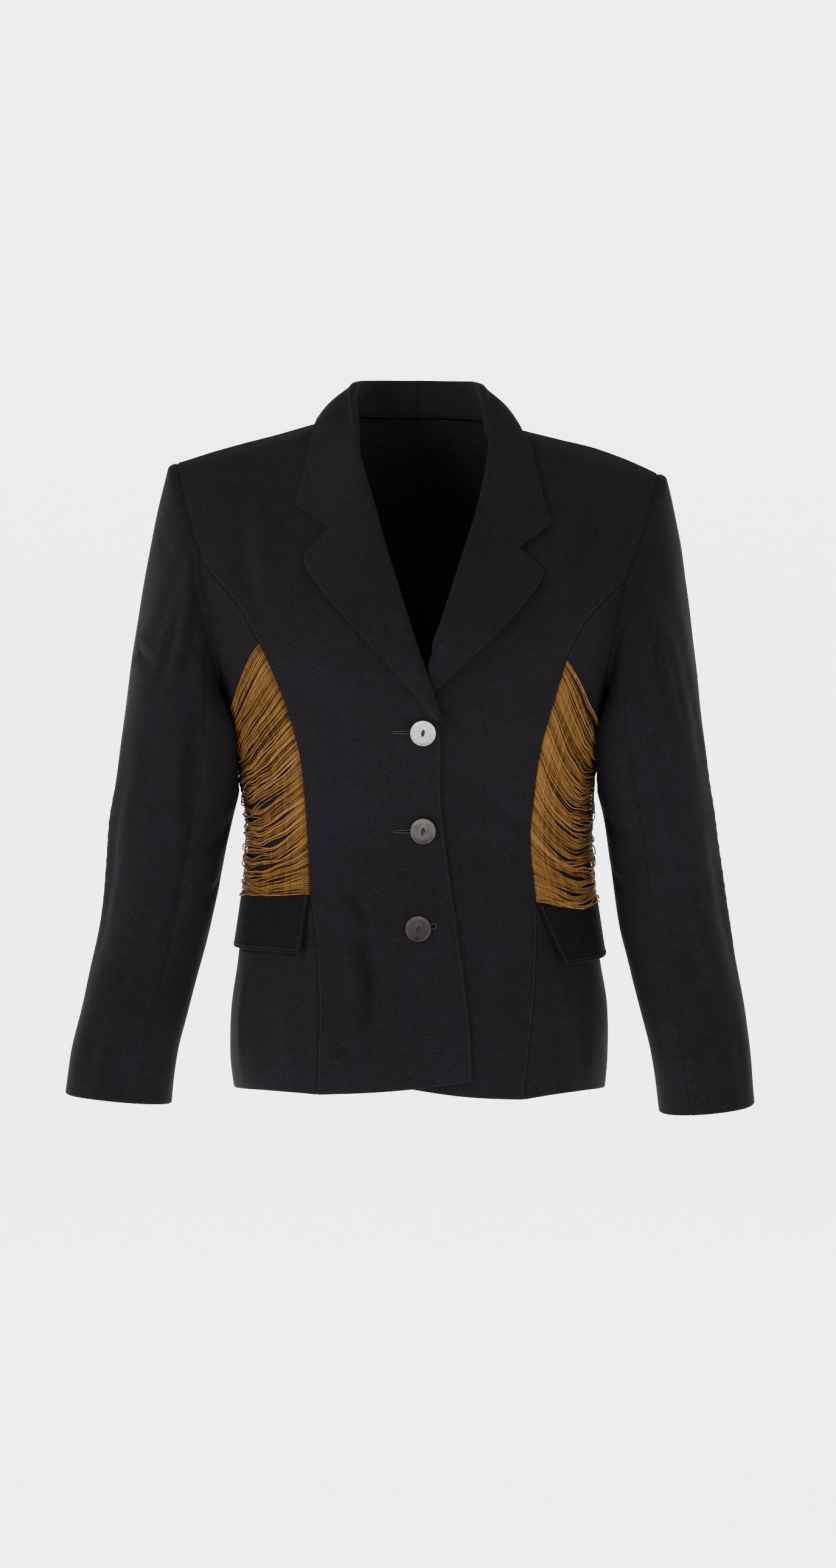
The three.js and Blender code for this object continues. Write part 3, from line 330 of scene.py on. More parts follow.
body_folds = []
for fold_points, fold_behind, fold_width, fold_depth in BODY_FOLDS:
    spots = along(fold_points, 22)
    spots = skin(around_at(spots[:, 0], spots[:, 1], fold_behind), spots[:, 1])
    body_folds.append((spots, fold_width, fold_depth))

# the armhole from the shoulder point down the front, under the arm and up the
# back; a negative height in the second table means the underarm, by its angle
ARMHOLE = {
    "right": columns(
        "x z behind",
        (221.5, -31.7, 0), (213, -73, 0), (205, -102, 0), (199.8, -121, 0), (188, -190, 0),
        (179.5, -236, 0), (0, -254, 0), (180.5, -232, 1), (186.5, -182, 1), (197, -118, 1),
        (209, -74, 1), (221.5, -31.7, 1)),
    "left": columns(
        "x z behind",
        (219.5, -41.5, 0), (212, -76, 0), (202, -108, 0), (190.6, -139, 0), (178, -193, 0),
        (171.5, -236, 0), (0, -256, 0), (172.5, -234, 1), (179, -184, 1), (192, -122, 1),
        (206, -80, 1), (219.5, -41.5, 1)),
}
UNDERARM_TURN = 92
ARMHOLE_SPLIT = 8
FRONT_SEAM_AT = 3
BACK_SEAM_AT = 9


def armhole_line(side):
    """The armhole as angles and heights, evenly split between its table's rows."""
    rows = ARMHOLE[side]
    behind = rows["behind"] > 0
    turn = np.where(rows["x"] > 0, np.abs(around_at(rows["x"] * sign(side), rows["z"], behind)),
                    UNDERARM_TURN)
    knots = np.stack([turn, rows["z"]], -1)
    ends = np.vstack([2 * knots[0] - knots[1], knots, 2 * knots[-1] - knots[-2]])
    line = []
    for i in range(1, len(ends) - 2):
        a, b, c, d = ends[i - 1:i + 3]
        t = np.linspace(0, 1, ARMHOLE_SPLIT + 1)[:-1, None]
        line.append(0.5 * (2 * b + (c - a) * t + (2 * a - 5 * b + 4 * c - d) * t**2
                           + (3 * b - a - 3 * c + d) * t**3))
    line = np.vstack(line + [knots[-1:]])
    line[:, 0] *= sign(side)
    return line


armhole = {side: armhole_line(side) for side in ("right", "left")}

# distance of the princess seams from the middle, front and back
SIDE_SEAMS = columns(
    "z right left rightBack leftBack",
    (-155, 171, 173, 166, 164), (-176, 156.5, 154, 152, 150), (-200, 144.5, 139.5, 139, 137),
    (-230, 130.7, 130.3, 127, 126), (-260, 119.5, 120.7, 117, 117), (-300, 108.4, 110.3, 106, 106),
    (-340, 104, 105, 99, 99), (-380, 101, 101.9, 97, 97), (-427, 98.7, 106.8, 101, 101),
    (-460, 93.6, 107.6, 106, 106), (-500, 91, 106, 111, 111), (-550, 90.6, 101.7, 115, 115),
    (-606, 92.1, 95.7, 118, 118),
)
HEM_Z = {
    "right": {"edge": -595.5, "seam": -607.5, "side": -604, "back": -599},
    "left": {"edge": -602, "seam": -612, "side": -604, "back": -599},
}
SIDE_ROWS = 96


def side_seam(side, behind):
    """A princess seam from the armhole to the hem, as angles and heights."""
    first = armhole[side][(BACK_SEAM_AT if behind else FRONT_SEAM_AT) * ARMHOLE_SPLIT]
    name = side + ("Back" if behind else "")
    keep = SIDE_SEAMS["z"] < first[1] - 8
    table = {
        "z": np.r_[first[1], SIDE_SEAMS["z"][keep]],
        "x": np.r_[abs(skin(first[0], first[1])[0]), SIDE_SEAMS[name][keep]],
    }
    z = np.linspace(first[1], HEM_Z[side]["back" if behind else "seam"], SIDE_ROWS + 1)
    turn = around_at(sign(side) * smooth(table, "z", "x")(z), z, behind)
    turn[0] = first[0]
    return np.stack([turn, z], -1)


# signed distance of each front's free edge from the middle, neck to hem
FRONT_EDGE = {
    "right": columns(
        "z x",
        (12, -67.5), (0, -62), (-26, -58.5), (-50, -52.2), (-79, -43.5), (-109, -35.8),
        (-135, -27.4), (-166, -18.1), (-194, -9.1), (-228, 2.6), (-255, 11.6), (-276, 18.5),
        (-300, 19.6), (-330, 19.4), (-369, 22.6), (-410, 27.8), (-458, 34.8), (-500, 40.5),
        (-545, 45.5), (-596, 48.3)),
    "left": columns(
        "z x",
        (6, 67.5), (0, 68), (-16, 70), (-42, 66.3), (-83, 56.8), (-125, 44), (-166, 30.2),
        (-202, 18), (-228, 8.5), (-262, -8), (-290, -14), (-369, -15), (-458, -18),
        (-540, -14), (-601, -8)),
}
# how far the right front stands out, and the left lies back, where they lap
OVERLAP = columns("z right left", (30, 0, 0), (-190, 0, 0), (-222, 1.6, -2.2), (-262, 2.2, -2.4),
                  (-310, 1.2, -1.7), (-615, 1.2, -1.7))
OVERLAP_REACH = {"right": (30, 55), "left": (58, 88)}
SEAM_DROP = 6
NECK_CROWD = 1.5


def overlap_shift(side, x, z):
    return smooth(OVERLAP, "z", side)(z) * (1 - ease(x * sign(side), *OVERLAP_REACH[side]))


def shares(count, left, right):
    """Even steps from 0 to 1, with a few close ones beside each sewn or turned edge."""
    close = np.array([0, 0.9, 2.0, 3.6])
    middle = np.linspace(left * 6, 1 - right * 6, count)
    return np.r_[close * left, middle, (1 - close * right)[::-1]]


def half_seam(z):
    return np.degrees(SEAM_GAP / 2 / half_width["right"](z))


def grid_out(grid, side):
    """Unit normals of a grid of points whose rows run down, pointing off the body."""
    across = np.gradient(grid, axis=1)
    down = np.gradient(grid, axis=0)
    return unit(np.cross(down, across)) * sign(side)


def seam_roll(grid, edges):
    """How far the cloth turns in beside its seams, where it is pressed open."""
    roll = np.zeros(grid.shape[:2])
    for edge in edges:
        line = {"left": grid[:, :1], "right": grid[:, -1:], "top": grid[:1], "bottom": grid[-1:]}[edge]
        away = np.linalg.norm(grid - line, axis=-1)
        roll -= 0.6 * np.exp(-((away / 1.0) ** 2))
        roll += 0.2 * np.exp(-(((away - 4.5) / 2.6) ** 2))
    return np.maximum(roll, -0.8)


def wall(name, outer, out, thick, soft=""):
    """A piece of cloth as a thin closed shell. soft names its free, rounded edges."""
    rows, wide = outer.shape[:2]
    inner = outer - out * thick
    edges = []
    edges += [((0, c), (1, c), "top") for c in range(wide - 1)]
    edges += [((r, wide - 1), (r, wide - 2), "right") for r in range(rows - 1)]
    edges += [((rows - 1, c), (rows - 2, c), "bottom") for c in range(wide - 1, 0, -1)]
    edges += [((r, 0), (r, 1), "left") for r in range(rows - 1, 0, -1)]
    rim = []
    for spot, inside, edge in edges:
        tangent = unit(outer[spot] - outer[inside]) if edge in soft.split() else np.zeros(3)
        rim.append((outer[spot] + inner[spot]) / 2 + tangent * thick * 0.42)
    index = np.arange(rows * wide).reshape(rows, wide)
    a, b, c, d = (index[:-1, :-1].ravel(), index[1:, :-1].ravel(), index[1:, 1:].ravel(),
                  index[:-1, 1:].ravel())
    under = rows * wide
    faces = np.vstack([np.stack([a, b, c, d], -1), np.stack([d, c, b, a], -1) + under])
    turn = np.array([index[spot] for spot, _, _ in edges])
    after = np.roll(turn, -1)
    middle = 2 * under + np.arange(len(turn))
    middle_after = np.roll(middle, -1)
    faces = np.vstack([faces, np.stack([turn, after, middle_after, middle], -1),
                       np.stack([middle, middle_after, after + under, turn + under], -1)])
    points = np.vstack([outer.reshape(-1, 3), inner.reshape(-1, 3), np.array(rim)])
    middle_row, middle_column = rows // 2, wide // 2
    here = outer[middle_row, middle_column]
    facing = np.cross(outer[middle_row + 1, middle_column] - here,
                      outer[middle_row, middle_column + 1] - here) @ out[middle_row, middle_column]
    if facing < 0:
        faces = faces[:, ::-1]
    # the cloth's own thread directions, as lengths along and across the piece
    along_u = np.zeros((rows, wide))
    along_v = np.zeros((rows, wide))
    along_u[:, 1:] = np.cumsum(np.linalg.norm(np.diff(outer, axis=1), axis=-1), axis=1)
    along_v[1:] = np.cumsum(np.linalg.norm(np.diff(outer, axis=0), axis=-1), axis=0)
    flat = np.stack([along_u - along_u[:, wide // 2][:, None], along_v], -1).reshape(-1, 2)
    rim_flat = np.array([flat[index[spot]] for spot, _, _ in edges])
    threads = np.vstack([flat, flat, rim_flat]) / 1000
    return piece(name, points / 1000, faces, threads)


def piece(name, points, faces, threads=None):
    """A new object from points in metres and faces, shaded smooth."""
    mesh = bpy.data.meshes.new(name)
    mesh.from_pydata(points.tolist(), [], faces.tolist() if hasattr(faces, "tolist") else faces)
    mesh.polygons.foreach_set("use_smooth", [True] * len(mesh.polygons))
    if threads is not None:
        corners = np.zeros(len(mesh.loops), int)
        mesh.loops.foreach_get("vertex_index", corners)
        layer = mesh.uv_layers.new(name="threads")
        layer.data.foreach_set("uv", threads[corners].ravel())
    mesh.validate()
    made = bpy.data.objects.new(name, mesh)
    bpy.context.scene.collection.objects.link(made)
    return made


class Wire:
    """A socket of a material's nodes; sums and products of wires add Math nodes."""

    def __init__(self, tree, socket):
        self.tree = tree
        self.socket = socket

    def node(self, kind, settings=None, inputs=None, output=0):
        made = self.tree.nodes.new(kind)
        for key, value in (settings or {}).items():
            if key == "stops":
                ramp = made.color_ramp
                while len(ramp.elements) < len(value):
                    ramp.elements.new(0.5)
                for element, (place, colour) in zip(ramp.elements, value):
                    element.position = place
                    element.color = (*colour, 1)
            else:
                setattr(made, key, value)
        for key, value in (inputs or {}).items():
            if isinstance(value, Wire):
                self.tree.links.new(value.socket, made.inputs[key])
            else:
                made.inputs[key].default_value = value
        return Wire(self.tree, made.outputs[output])

    def maths(self, operation, *values):
        return self.node("ShaderNodeMath", {"operation": operation}, dict(enumerate(values)))

    def __add__(self, other): return self.maths("ADD", self, other)
    def __radd__(self, other): return self.maths("ADD", other, self)
    def __sub__(self, other): return self.maths("SUBTRACT", self, other)
    def __rsub__(self, other): return self.maths("SUBTRACT", other, self)
    def __mul__(self, other): return self.maths("MULTIPLY", self, other)
    def __rmul__(self, other): return self.maths("MULTIPLY", other, self)

    def blend(self, low, high):
        """A colour between two others, by this wire's value."""
        return self.node("ShaderNodeMix", {"data_type": "RGBA"}, {0: self, 6: low, 7: high}, 2)

    def feed(self, socket):
        self.tree.links.new(self.socket, socket)


def finish_of(name):
    """A new material: its main shader, and a wire to start its other nodes from."""
    material = bpy.data.materials.new(name)
    material.use_nodes = True
    shader = material.node_tree.nodes["Principled BSDF"]
    return material, shader, Wire(material.node_tree, None)


CLOTH_DARK = (0.0010, 0.0009, 0.0011)
CLOTH_LIGHT = (0.0105, 0.0091, 0.0114)


def crepe(name, shade=1.0):
    """Wool crepe: a fine, slightly pebbled weave with a very dark, faintly violet cast."""
    dark, light = ((*[part * shade for part in colour], 1) for colour in (CLOTH_DARK, CLOTH_LIGHT))
    material, shader, start = finish_of(name)
    threads = start.node("ShaderNodeUVMap", {"uv_map": "threads"})
    place = start.node("ShaderNodeTexCoord", output=3)
    warp = start.node("ShaderNodeTexWave", {"bands_direction": "X"},
                      {"Vector": threads, "Scale": 620.0, "Distortion": 2.2, "Detail Scale": 3.0}, 1)
    weft = start.node("ShaderNodeTexWave", {"bands_direction": "DIAGONAL"},
                      {"Vector": threads, "Scale": 430.0, "Distortion": 2.6, "Detail Scale": 3.0}, 1)
    pebble = start.node("ShaderNodeTexNoise", inputs={"Vector": place, "Scale": 850.0, "Detail": 4.0})
    nap = start.node("ShaderNodeTexNoise", inputs={"Vector": place, "Scale": 90.0, "Detail": 4.0})
    wear = start.node("ShaderNodeTexNoise", inputs={"Vector": place, "Scale": 9.0, "Detail": 2.0})
    weave = warp * weft * 0.55 + pebble * 0.45
    tone = warp * weft * 0.36 + pebble * 1.36 + nap * 0.34 + wear * 0.25 - 0.63
    tone.blend(dark, light).feed(shader.inputs["Base Color"])
    (0.8 + nap * 0.2).feed(shader.inputs["Roughness"])
    raised = start.node("ShaderNodeBump", inputs={"Height": weave, "Distance": 0.0003, "Strength": 0.55})
    raised = start.node("ShaderNodeBump", inputs={
        "Height": nap, "Distance": 0.0006, "Strength": 0.25, "Normal": raised})
    raised.feed(shader.inputs["Normal"])
    shader.inputs["Specular IOR Level"].default_value = 0.05
    shader.inputs["Sheen Weight"].default_value = 0.007
    shader.inputs["Sheen Roughness"].default_value = 0.5
    shader.inputs["Sheen Tint"].default_value = (0.85, 0.8, 0.88, 1)
    return material


black_crepe = crepe("black_crepe")


def dress(made, node, material, also=()):
    """Gives a piece its material and its place in the frame."""
    made.data.materials.append(material)
    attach(made, "root")
    if node:
        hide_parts(node, *also)


def lofted(side, spots_turn, spots_z, shift, rolled):
    """Points and normals of a body panel from angles and heights, with its folds."""
    plain = skin(spots_turn, spots_z)
    out = skin_out(spots_turn, spots_z)
    lift = shift + fold_height(plain, body_folds) + slow_wave(plain)
    bare = plain + out * lift[..., None]
    return bare, out, seam_roll(bare, rolled)


HEM_BELLY = 2.2
# each body panel's grid of points in mm, before its seams roll in
panel_grid = {}
for side in ("right", "left"):
    to = sign(side)
    edge_x = smooth(FRONT_EDGE[side], "z", "x")
    neck_x, neck_z = FRONT_EDGE[side]["x"][0], FRONT_EDGE[side]["z"][0]
    turn_row = FRONT_SEAM_AT * ARMHOLE_SPLIT
    seam_line = np.vstack([armhole[side][:turn_row], side_seam(side, False)])
    turn_z = seam_line[turn_row, 1] - SEAM_DROP
    row = np.arange(len(seam_line))
    edge_z = np.where(row < turn_row, mix(neck_z, turn_z, np.clip(row / turn_row, 0, 1) ** NECK_CROWD),
                      mix(turn_z, HEM_Z[side]["edge"], (row - turn_row) / SIDE_ROWS))
    share = shares(44, 0.006, 0.006)
    edge_turn = around_at(edge_x(edge_z), edge_z)
    turns = mix(edge_turn[:, None], seam_line[:, :1], share)
    turns[:, -1] -= half_seam(seam_line[:, 1]) * to
    heights = mix(edge_z[:, None], seam_line[:, 1:], share)
    heights -= HEM_BELLY * ease(row, SIDE_ROWS, len(row) - 1)[:, None] * np.sin(share * np.pi)
    shift = overlap_shift(side, skin(turns, heights)[..., 0], heights)
    bare, out, roll = lofted(side, turns, heights, shift, ["right"])
    ridge_x = mix(neck_x, ARMHOLE[side]["x"][0] * to, share)
    bare[0] = np.stack([ridge_x, ridge_y(ridge_x, False) - SEAM_GAP / 2,
                        shoulder_z[side](np.abs(ridge_x))], -1)
    out[0] = unit(out[1] + np.array([0, 0, 1.0]))
    panel_grid[side + "_front"] = bare
    front = wall(side + "_front", bare + out * roll[..., None], out, CLOTH_THICK, "left bottom")
    dress(front, side + "_front", black_crepe)


# ---- Side panels -----------------------------------------------------------
# One black panel on each side, from the front princess seam round to the back
# one and from the armhole to the hem; the gold cords hang over its waist.
ARMHOLE_FADE = 2.2
for side in ("right", "left"):
    to = sign(side)
    front_line, back_line = side_seam(side, False), side_seam(side, True)
    first, last = FRONT_SEAM_AT * ARMHOLE_SPLIT, BACK_SEAM_AT * ARMHOLE_SPLIT
    top = armhole[side][first:last + 1]
    spread = np.arange(last - first + 1) / (last - first)
    ends = np.array([0.006, 0.014, 0.026])
    share = np.unique(np.r_[spread, ends, 1 - ends])
    top = np.stack([np.interp(share, spread, top[:, k]) for k in (0, 1)], -1)
    straight = front_line[:, None] + (back_line - front_line)[:, None] * share[None, :, None]
    fade = (1 - np.arange(SIDE_ROWS + 1) / SIDE_ROWS)[:, None, None] ** ARMHOLE_FADE
    spots = straight + (top - straight[0])[None] * fade
    spots[-1, :, 1] += (HEM_Z[side]["side"] - straight[-1, :, 1]) * np.sin(share * np.pi)
    spots[:, 0, 0] += to * half_seam(spots[:, 0, 1])
    spots[:, -1, 0] -= to * half_seam(spots[:, -1, 1])
    bare, out, roll = lofted(side, spots[..., 0], spots[..., 1], 0.0, ["left", "right"])
    panel_grid[side + "_side_panel"] = bare
    panel = wall(side + "_side_panel", bare + out * roll[..., None], out, CLOTH_THICK, "bottom")
    dress(panel, side + "_side_panel", black_crepe)


# ---- Backs -----------------------------------------------------------------
# Two backs joined down the middle, eased over the shoulder blades, drawn in
# at the waist and left plain to the hem.
BACK_NECK_END = 68
BACK_NECK_SHARE = 3 / 8
for side in ("right", "left"):
    to = sign(side)
    turn_row = (len(ARMHOLE[side]["x"]) - 1 - BACK_SEAM_AT) * ARMHOLE_SPLIT
    up = armhole[side][BACK_SEAM_AT * ARMHOLE_SPLIT:][::-1]
    seam_line = np.vstack([up[:turn_row], side_seam(side, True)])
    row = np.arange(len(seam_line))
    middle_z = np.where(
        row < turn_row,
        mix(shoulder_z[side](0), seam_line[turn_row, 1], np.clip(row / turn_row, 0, 1) ** NECK_CROWD),
        mix(seam_line[turn_row, 1], HEM_Z[side]["back"], (row - turn_row) / SIDE_ROWS))
    share = shares(44, 0.006, 0.006)
    turns = mix(to * 180.0, seam_line[:, :1], share)
    turns[:, 0] -= to * half_seam(middle_z)
    turns[:, -1] += to * half_seam(seam_line[:, 1])
    heights = mix(middle_z[:, None], seam_line[:, 1:], share)
    bare, out, roll = lofted(side, turns, heights, 0.0, ["left", "right"])
    ridge_x = np.where(share < BACK_NECK_SHARE, BACK_NECK_END * share / BACK_NECK_SHARE,
                       mix(BACK_NECK_END, ARMHOLE[side]["x"][0],
                           (share - BACK_NECK_SHARE) / (1 - BACK_NECK_SHARE)))
    ridge_x = to * np.maximum(ridge_x, SEAM_GAP / 2)
    bare[0] = np.stack([ridge_x, ridge_y(ridge_x, True) + SEAM_GAP / 2,
                        shoulder_z[side](np.abs(ridge_x))], -1)
    out[0] = unit(out[1] + np.array([0, 0, 1.0]))
    panel_grid[side + "_back"] = bare
    back = wall(side + "_back", bare + out * roll[..., None], out, CLOTH_THICK, "bottom")
    dress(back, side + "_back", black_crepe)


# ---- Sleeves ---------------------------------------------------------------
# Two-piece tailored sleeves: a wide upper sleeve and a narrow under sleeve,
# eased into a square, padded shoulder with a small roll at the sleeve head.
SLEEVE_THICK = 1.8
ARM = columns(
    "z rightOut rightIn leftOut leftIn front back",
    (-290, 273.5, 161, 263, 157, -68, 60), (-325, 278, 163.5, 267.5, 162, -66, 60),
    (-360, 283.5, 171, 272.5, 170, -64, 58), (-395, 286.5, 178.5, 277, 175.5, -62, 54),
    (-430, 289.5, 185, 282, 180.5, -61, 50), (-465, 295, 192.5, 287, 186, -60, 45),
    (-500, 302.5, 202, 293.5, 194.5, -60, 39), (-535, 310, 211, 300, 203.5, -61, 32),
    (-570, 318, 220, 304.5, 213, -62, 26), (-625, 326.5, 226.5, 309, 220.5, -63, 19),
)
ARM_POWER = 2.4
BICEP_Z = -290
CUFF = {"right": (-608, -617.5, -616), "left": (-617, -625, -627)}  # outer, inner, front height
CAP_ROWS = 30
LOWER_ROWS = 84
HEAD = {"out": 9, "round": 0.5, "down": 5.5, "under": 0.3}
SEAM_TUCK = 0.8
SEAM_SUNK = 0.5
CAP_LEAVE = {"out": 0.24, "outUnder": 0.1, "forward": 0.42, "down": 0.92}
CAP_ARRIVE = {"out": 0.13, "down": 0.99}
SLEEVE_CLEAR = 5.2
UNDERARM_Z = -250
ROUND_SLEEVE = columns("x turn", (0, 0), (3, 80), (6, 180), (9, 287), (11, 360))
UNDER_SLEEVE = (32, 68)
SLEEVE_CUT = {  # under, then upper
    "right": (((0.228, 0.479), 0.0619), ((0.319, 0.592), 0.1065)),
    "left": (((0.223, 0.483), 0.0611), ((0.308, 0.589), 0.1040)),
}

# the sleeves' creases: (degrees round from the outer side, height), half width, depth
SLEEVE_FOLDS = {
    "right": [
        ([(134, -226), (138, -256), (138, -300), (134, -330)], 14, 3.8),
        ([(104, -250), (104, -300), (110, -352), (116, -400)], 9, -4.2),
        ([(116, -392), (110, -440), (104, -486)], 9, -3.6),
        ([(92, -250), (90, -310), (94, -372)], 9, 2.2),
        ([(102, -404), (86, -446), (72, -490), (62, -526)], 9, -3.8),
        ([(82, -396), (68, -446), (52, -500)], 12, 2.2),
        ([(8, -206), (30, -212), (52, -222)], 5, -3.6),
        ([(6, -190), (28, -197), (52, -205)], 7, 2.0),
        ([(4, -100), (20, -108), (40, -122)], 6, -1.8),
        ([(74, -150), (66, -200), (58, -256)], 8, -3.0),
        ([(88, -130), (80, -184), (72, -250)], 9, 2.0),
        ([(98, -150), (94, -200), (90, -250)], 7, -2.8),
        ([(52, -110), (46, -160), (38, -214)], 9, -1.8),
        ([(64, -270), (60, -330), (56, -392)], 10, -2.2),
        ([(40, -300), (32, -400), (26, -500)], 11, -2.0),
        ([(24, -260), (20, -380), (20, -500)], 9, 1.3),
        ([(60, -530), (56, -566), (52, -606)], 9, -2.2),
        ([(112, -530), (106, -570), (100, -608)], 9, 2.0),
        ([(84, -540), (80, -575), (78, -608)], 8, -1.8),
        ([(176, -352), (150, -376), (120, -388)], 7, -2.8),
        ([(182, -410), (160, -424), (136, -430)], 7, -2.4),
        ([(280, -150), (286, -210), (282, -280)], 11, -3.0),
        ([(310, -170), (316, -250), (312, -330)], 12, 2.0),
        ([(250, -330), (262, -380), (282, -410)], 9, -3.6),
        ([(236, -370), (256, -410), (280, -446)], 8, -3.2),
        ([(230, -420), (252, -452), (276, -480)], 10, 2.0),
        ([(300, -460), (304, -520), (298, -590)], 11, -2.2),
    ],
    "left": [
        ([(136, -240), (140, -268), (138, -304), (134, -332)], 14, 3.2),
        ([(98, -170), (94, -220), (88, -262)], 7, -3.0),
        ([(86, -150), (80, -200), (74, -250)], 8, 1.8),
        ([(76, -160), (70, -206), (66, -262)], 7, -2.6),
        ([(58, -190), (52, -230), (50, -270)], 7, -2.2),
        ([(66, -190), (60, -232), (58, -280)], 7, 1.6),
        ([(118, -290), (112, -360), (104, -430)], 10, -2.8),
        ([(96, -300), (88, -370), (84, -440)], 12, 1.8),
        ([(40, -130), (34, -240), (30, -340)], 11, -1.8),
        ([(40, -340), (32, -430), (28, -520)], 11, -1.8),
        ([(22, -260), (18, -380), (18, -500)], 8, 1.2),
        ([(178, -350), (152, -366), (124, -372)], 7, -2.6),
        ([(180, -404), (156, -416), (130, -420)], 7, -2.2),
        ([(86, -440), (74, -500), (62, -560)], 11, -2.4),
        ([(68, -410), (58, -470), (50, -530)], 12, 1.4),
        ([(120, -520), (112, -560), (106, -606)], 9, 1.9),
        ([(50, -530), (46, -570), (44, -612)], 9, -1.6),
        ([(276, -160), (282, -220), (280, -290)], 11, -3.0),
        ([(308, -180), (312, -250), (310, -320)], 12, 1.9),
        ([(248, -340), (262, -386), (284, -414)], 9, -3.4),
        ([(238, -392), (256, -424), (278, -452)], 9, -2.8),
        ([(304, -470), (300, -530), (304, -600)], 11, -2.2),
    ],
}


def clear_of_body(points, side):
    """Keeps the sleeve's points clear of the body's side, below the armhole."""
    below = ease(UNDERARM_Z - points[..., 2], 0, 14)
    flat = points[..., :2] - np.array([0, SIDE_Y])
    turn = np.degrees(np.arctan2(flat[..., 0], -flat[..., 1]))
    body = skin(turn, points[..., 2])
    room = np.hypot(body[..., 0], body[..., 1] - SIDE_Y) + SLEEVE_CLEAR
    reach = np.linalg.norm(flat, axis=-1)
    near = (reach < room) & (np.sign(points[..., 0]) == sign(side)) & (below > 0)
    pushed = np.where(near, mix(1, room / reach, below), 1)
    moved = points.copy()
    moved[..., :2] = flat * pushed[..., None] + np.array([0, SIDE_Y])
    return moved


def arm_ring(side, turn, z):
    """A point of the sleeve's level section, by degrees round from its outer side."""
    away, forward = np.cos(np.radians(turn)), np.sin(np.radians(turn))
    radius = (np.abs(away) ** ARM_POWER + np.abs(forward) ** ARM_POWER) ** (-1 / ARM_POWER)
    outer, inner = smooth(ARM, "z", side + "Out")(z), smooth(ARM, "z", side + "In")(z)
    front, back = smooth(ARM, "z", "front")(z), smooth(ARM, "z", "back")(z)
    y = (front + back) / 2 - forward * radius * (back - front) / 2
    x = (outer + inner) / 2 + (outer - inner) / 2 * radius * away
    return np.stack(np.broadcast_arrays(sign(side) * x, y, z), -1)


def hermite(a, leave, b, arrive, t):
    return ((2 * t**3 - 3 * t**2 + 1) * a + (t**3 - 2 * t**2 + t) * leave
            + (3 * t**2 - 2 * t**3) * b + (t**3 - t**2) * arrive)


def sleeve_points(side):
    """The whole sleeve as rows down and columns round, starting on the armhole."""
    to = sign(side)
    line = armhole[side]
    turn = smooth(ROUND_SLEEVE, "x", "turn")(np.arange(len(line)) / ARMHOLE_SPLIT)
    seam = skin(line[:, 0], line[:, 1])
    shoulder_x = to * ARMHOLE[side]["x"][0]
    seam[[0, -1]] = [shoulder_x, float(ridge_y(shoulder_x, False)), shoulder_z[side](abs(shoulder_x))]
    sine, cosine = np.sin(np.radians(turn)), np.cos(np.radians(turn))
    under = (1 - cosine) / 2
    round_out = np.stack([np.zeros_like(turn), -sine, cosine], -1)
    tucked = skin_out(line[:, 0], line[:, 1])
    tucked[[0, -1]] = [0, 0, 1]
    start = seam - np.array([to * SEAM_TUCK, 0, 0]) - tucked * SEAM_SUNK
    roll = mix(1, HEAD["under"], under)
    head = seam + np.stack([to * HEAD["out"] * roll, 0 * roll, -HEAD["down"] * roll], -1)
    head += round_out * (HEAD["round"] * roll)[:, None]
    upper = arm_ring(side, turn, BICEP_Z)
    length = np.linalg.norm(upper - head, axis=-1)[:, None]
    outward = mix(CAP_LEAVE["out"], CAP_LEAVE["outUnder"], under)
    leave = np.stack([to * outward, -CAP_LEAVE["forward"] * sine, -CAP_LEAVE["down"] + 0 * sine], -1)
    arrive = np.array([to * CAP_ARRIVE["out"], 0, -CAP_ARRIVE["down"]]) * length
    leave = leave * length
    rise = unit(np.array([to, 0, 0]) + round_out * 0.12) * (HEAD["out"] * roll * 1.5)[:, None]
    sink = unit(leave) * (HEAD["out"] * roll)[:, None]
    rows = [hermite(start, rise, head, sink, t) for t in np.linspace(0, 1, 7)[:-1]]
    rows += [hermite(head, leave, upper, arrive, t) for t in np.linspace(0, 1, CAP_ROWS + 1)[:-1] ** 1.15]
    outer_z, inner_z, front_z = CUFF[side]
    cuff_z = mix(outer_z, inner_z, under) + (front_z - (outer_z + inner_z) / 2) * np.maximum(sine, 0)
    rows += [arm_ring(side, turn, mix(BICEP_Z, cuff_z, t)) for t in np.linspace(0, 1, LOWER_ROWS + 1)]
    grid = np.array(rows)
    grid[7:] = clear_of_body(grid[7:], side)
    return grid, turn


def ringed_out(grid, side):
    """Unit normals of rows that close on themselves, pointing off the sleeve."""
    loop = np.concatenate([grid[:, -2:-1], grid, grid[:, 1:2]], axis=1)
    across = (loop[:, 2:] - loop[:, :-2])
    down = np.gradient(grid, axis=0)
    return unit(np.cross(across, down)) * sign(side)


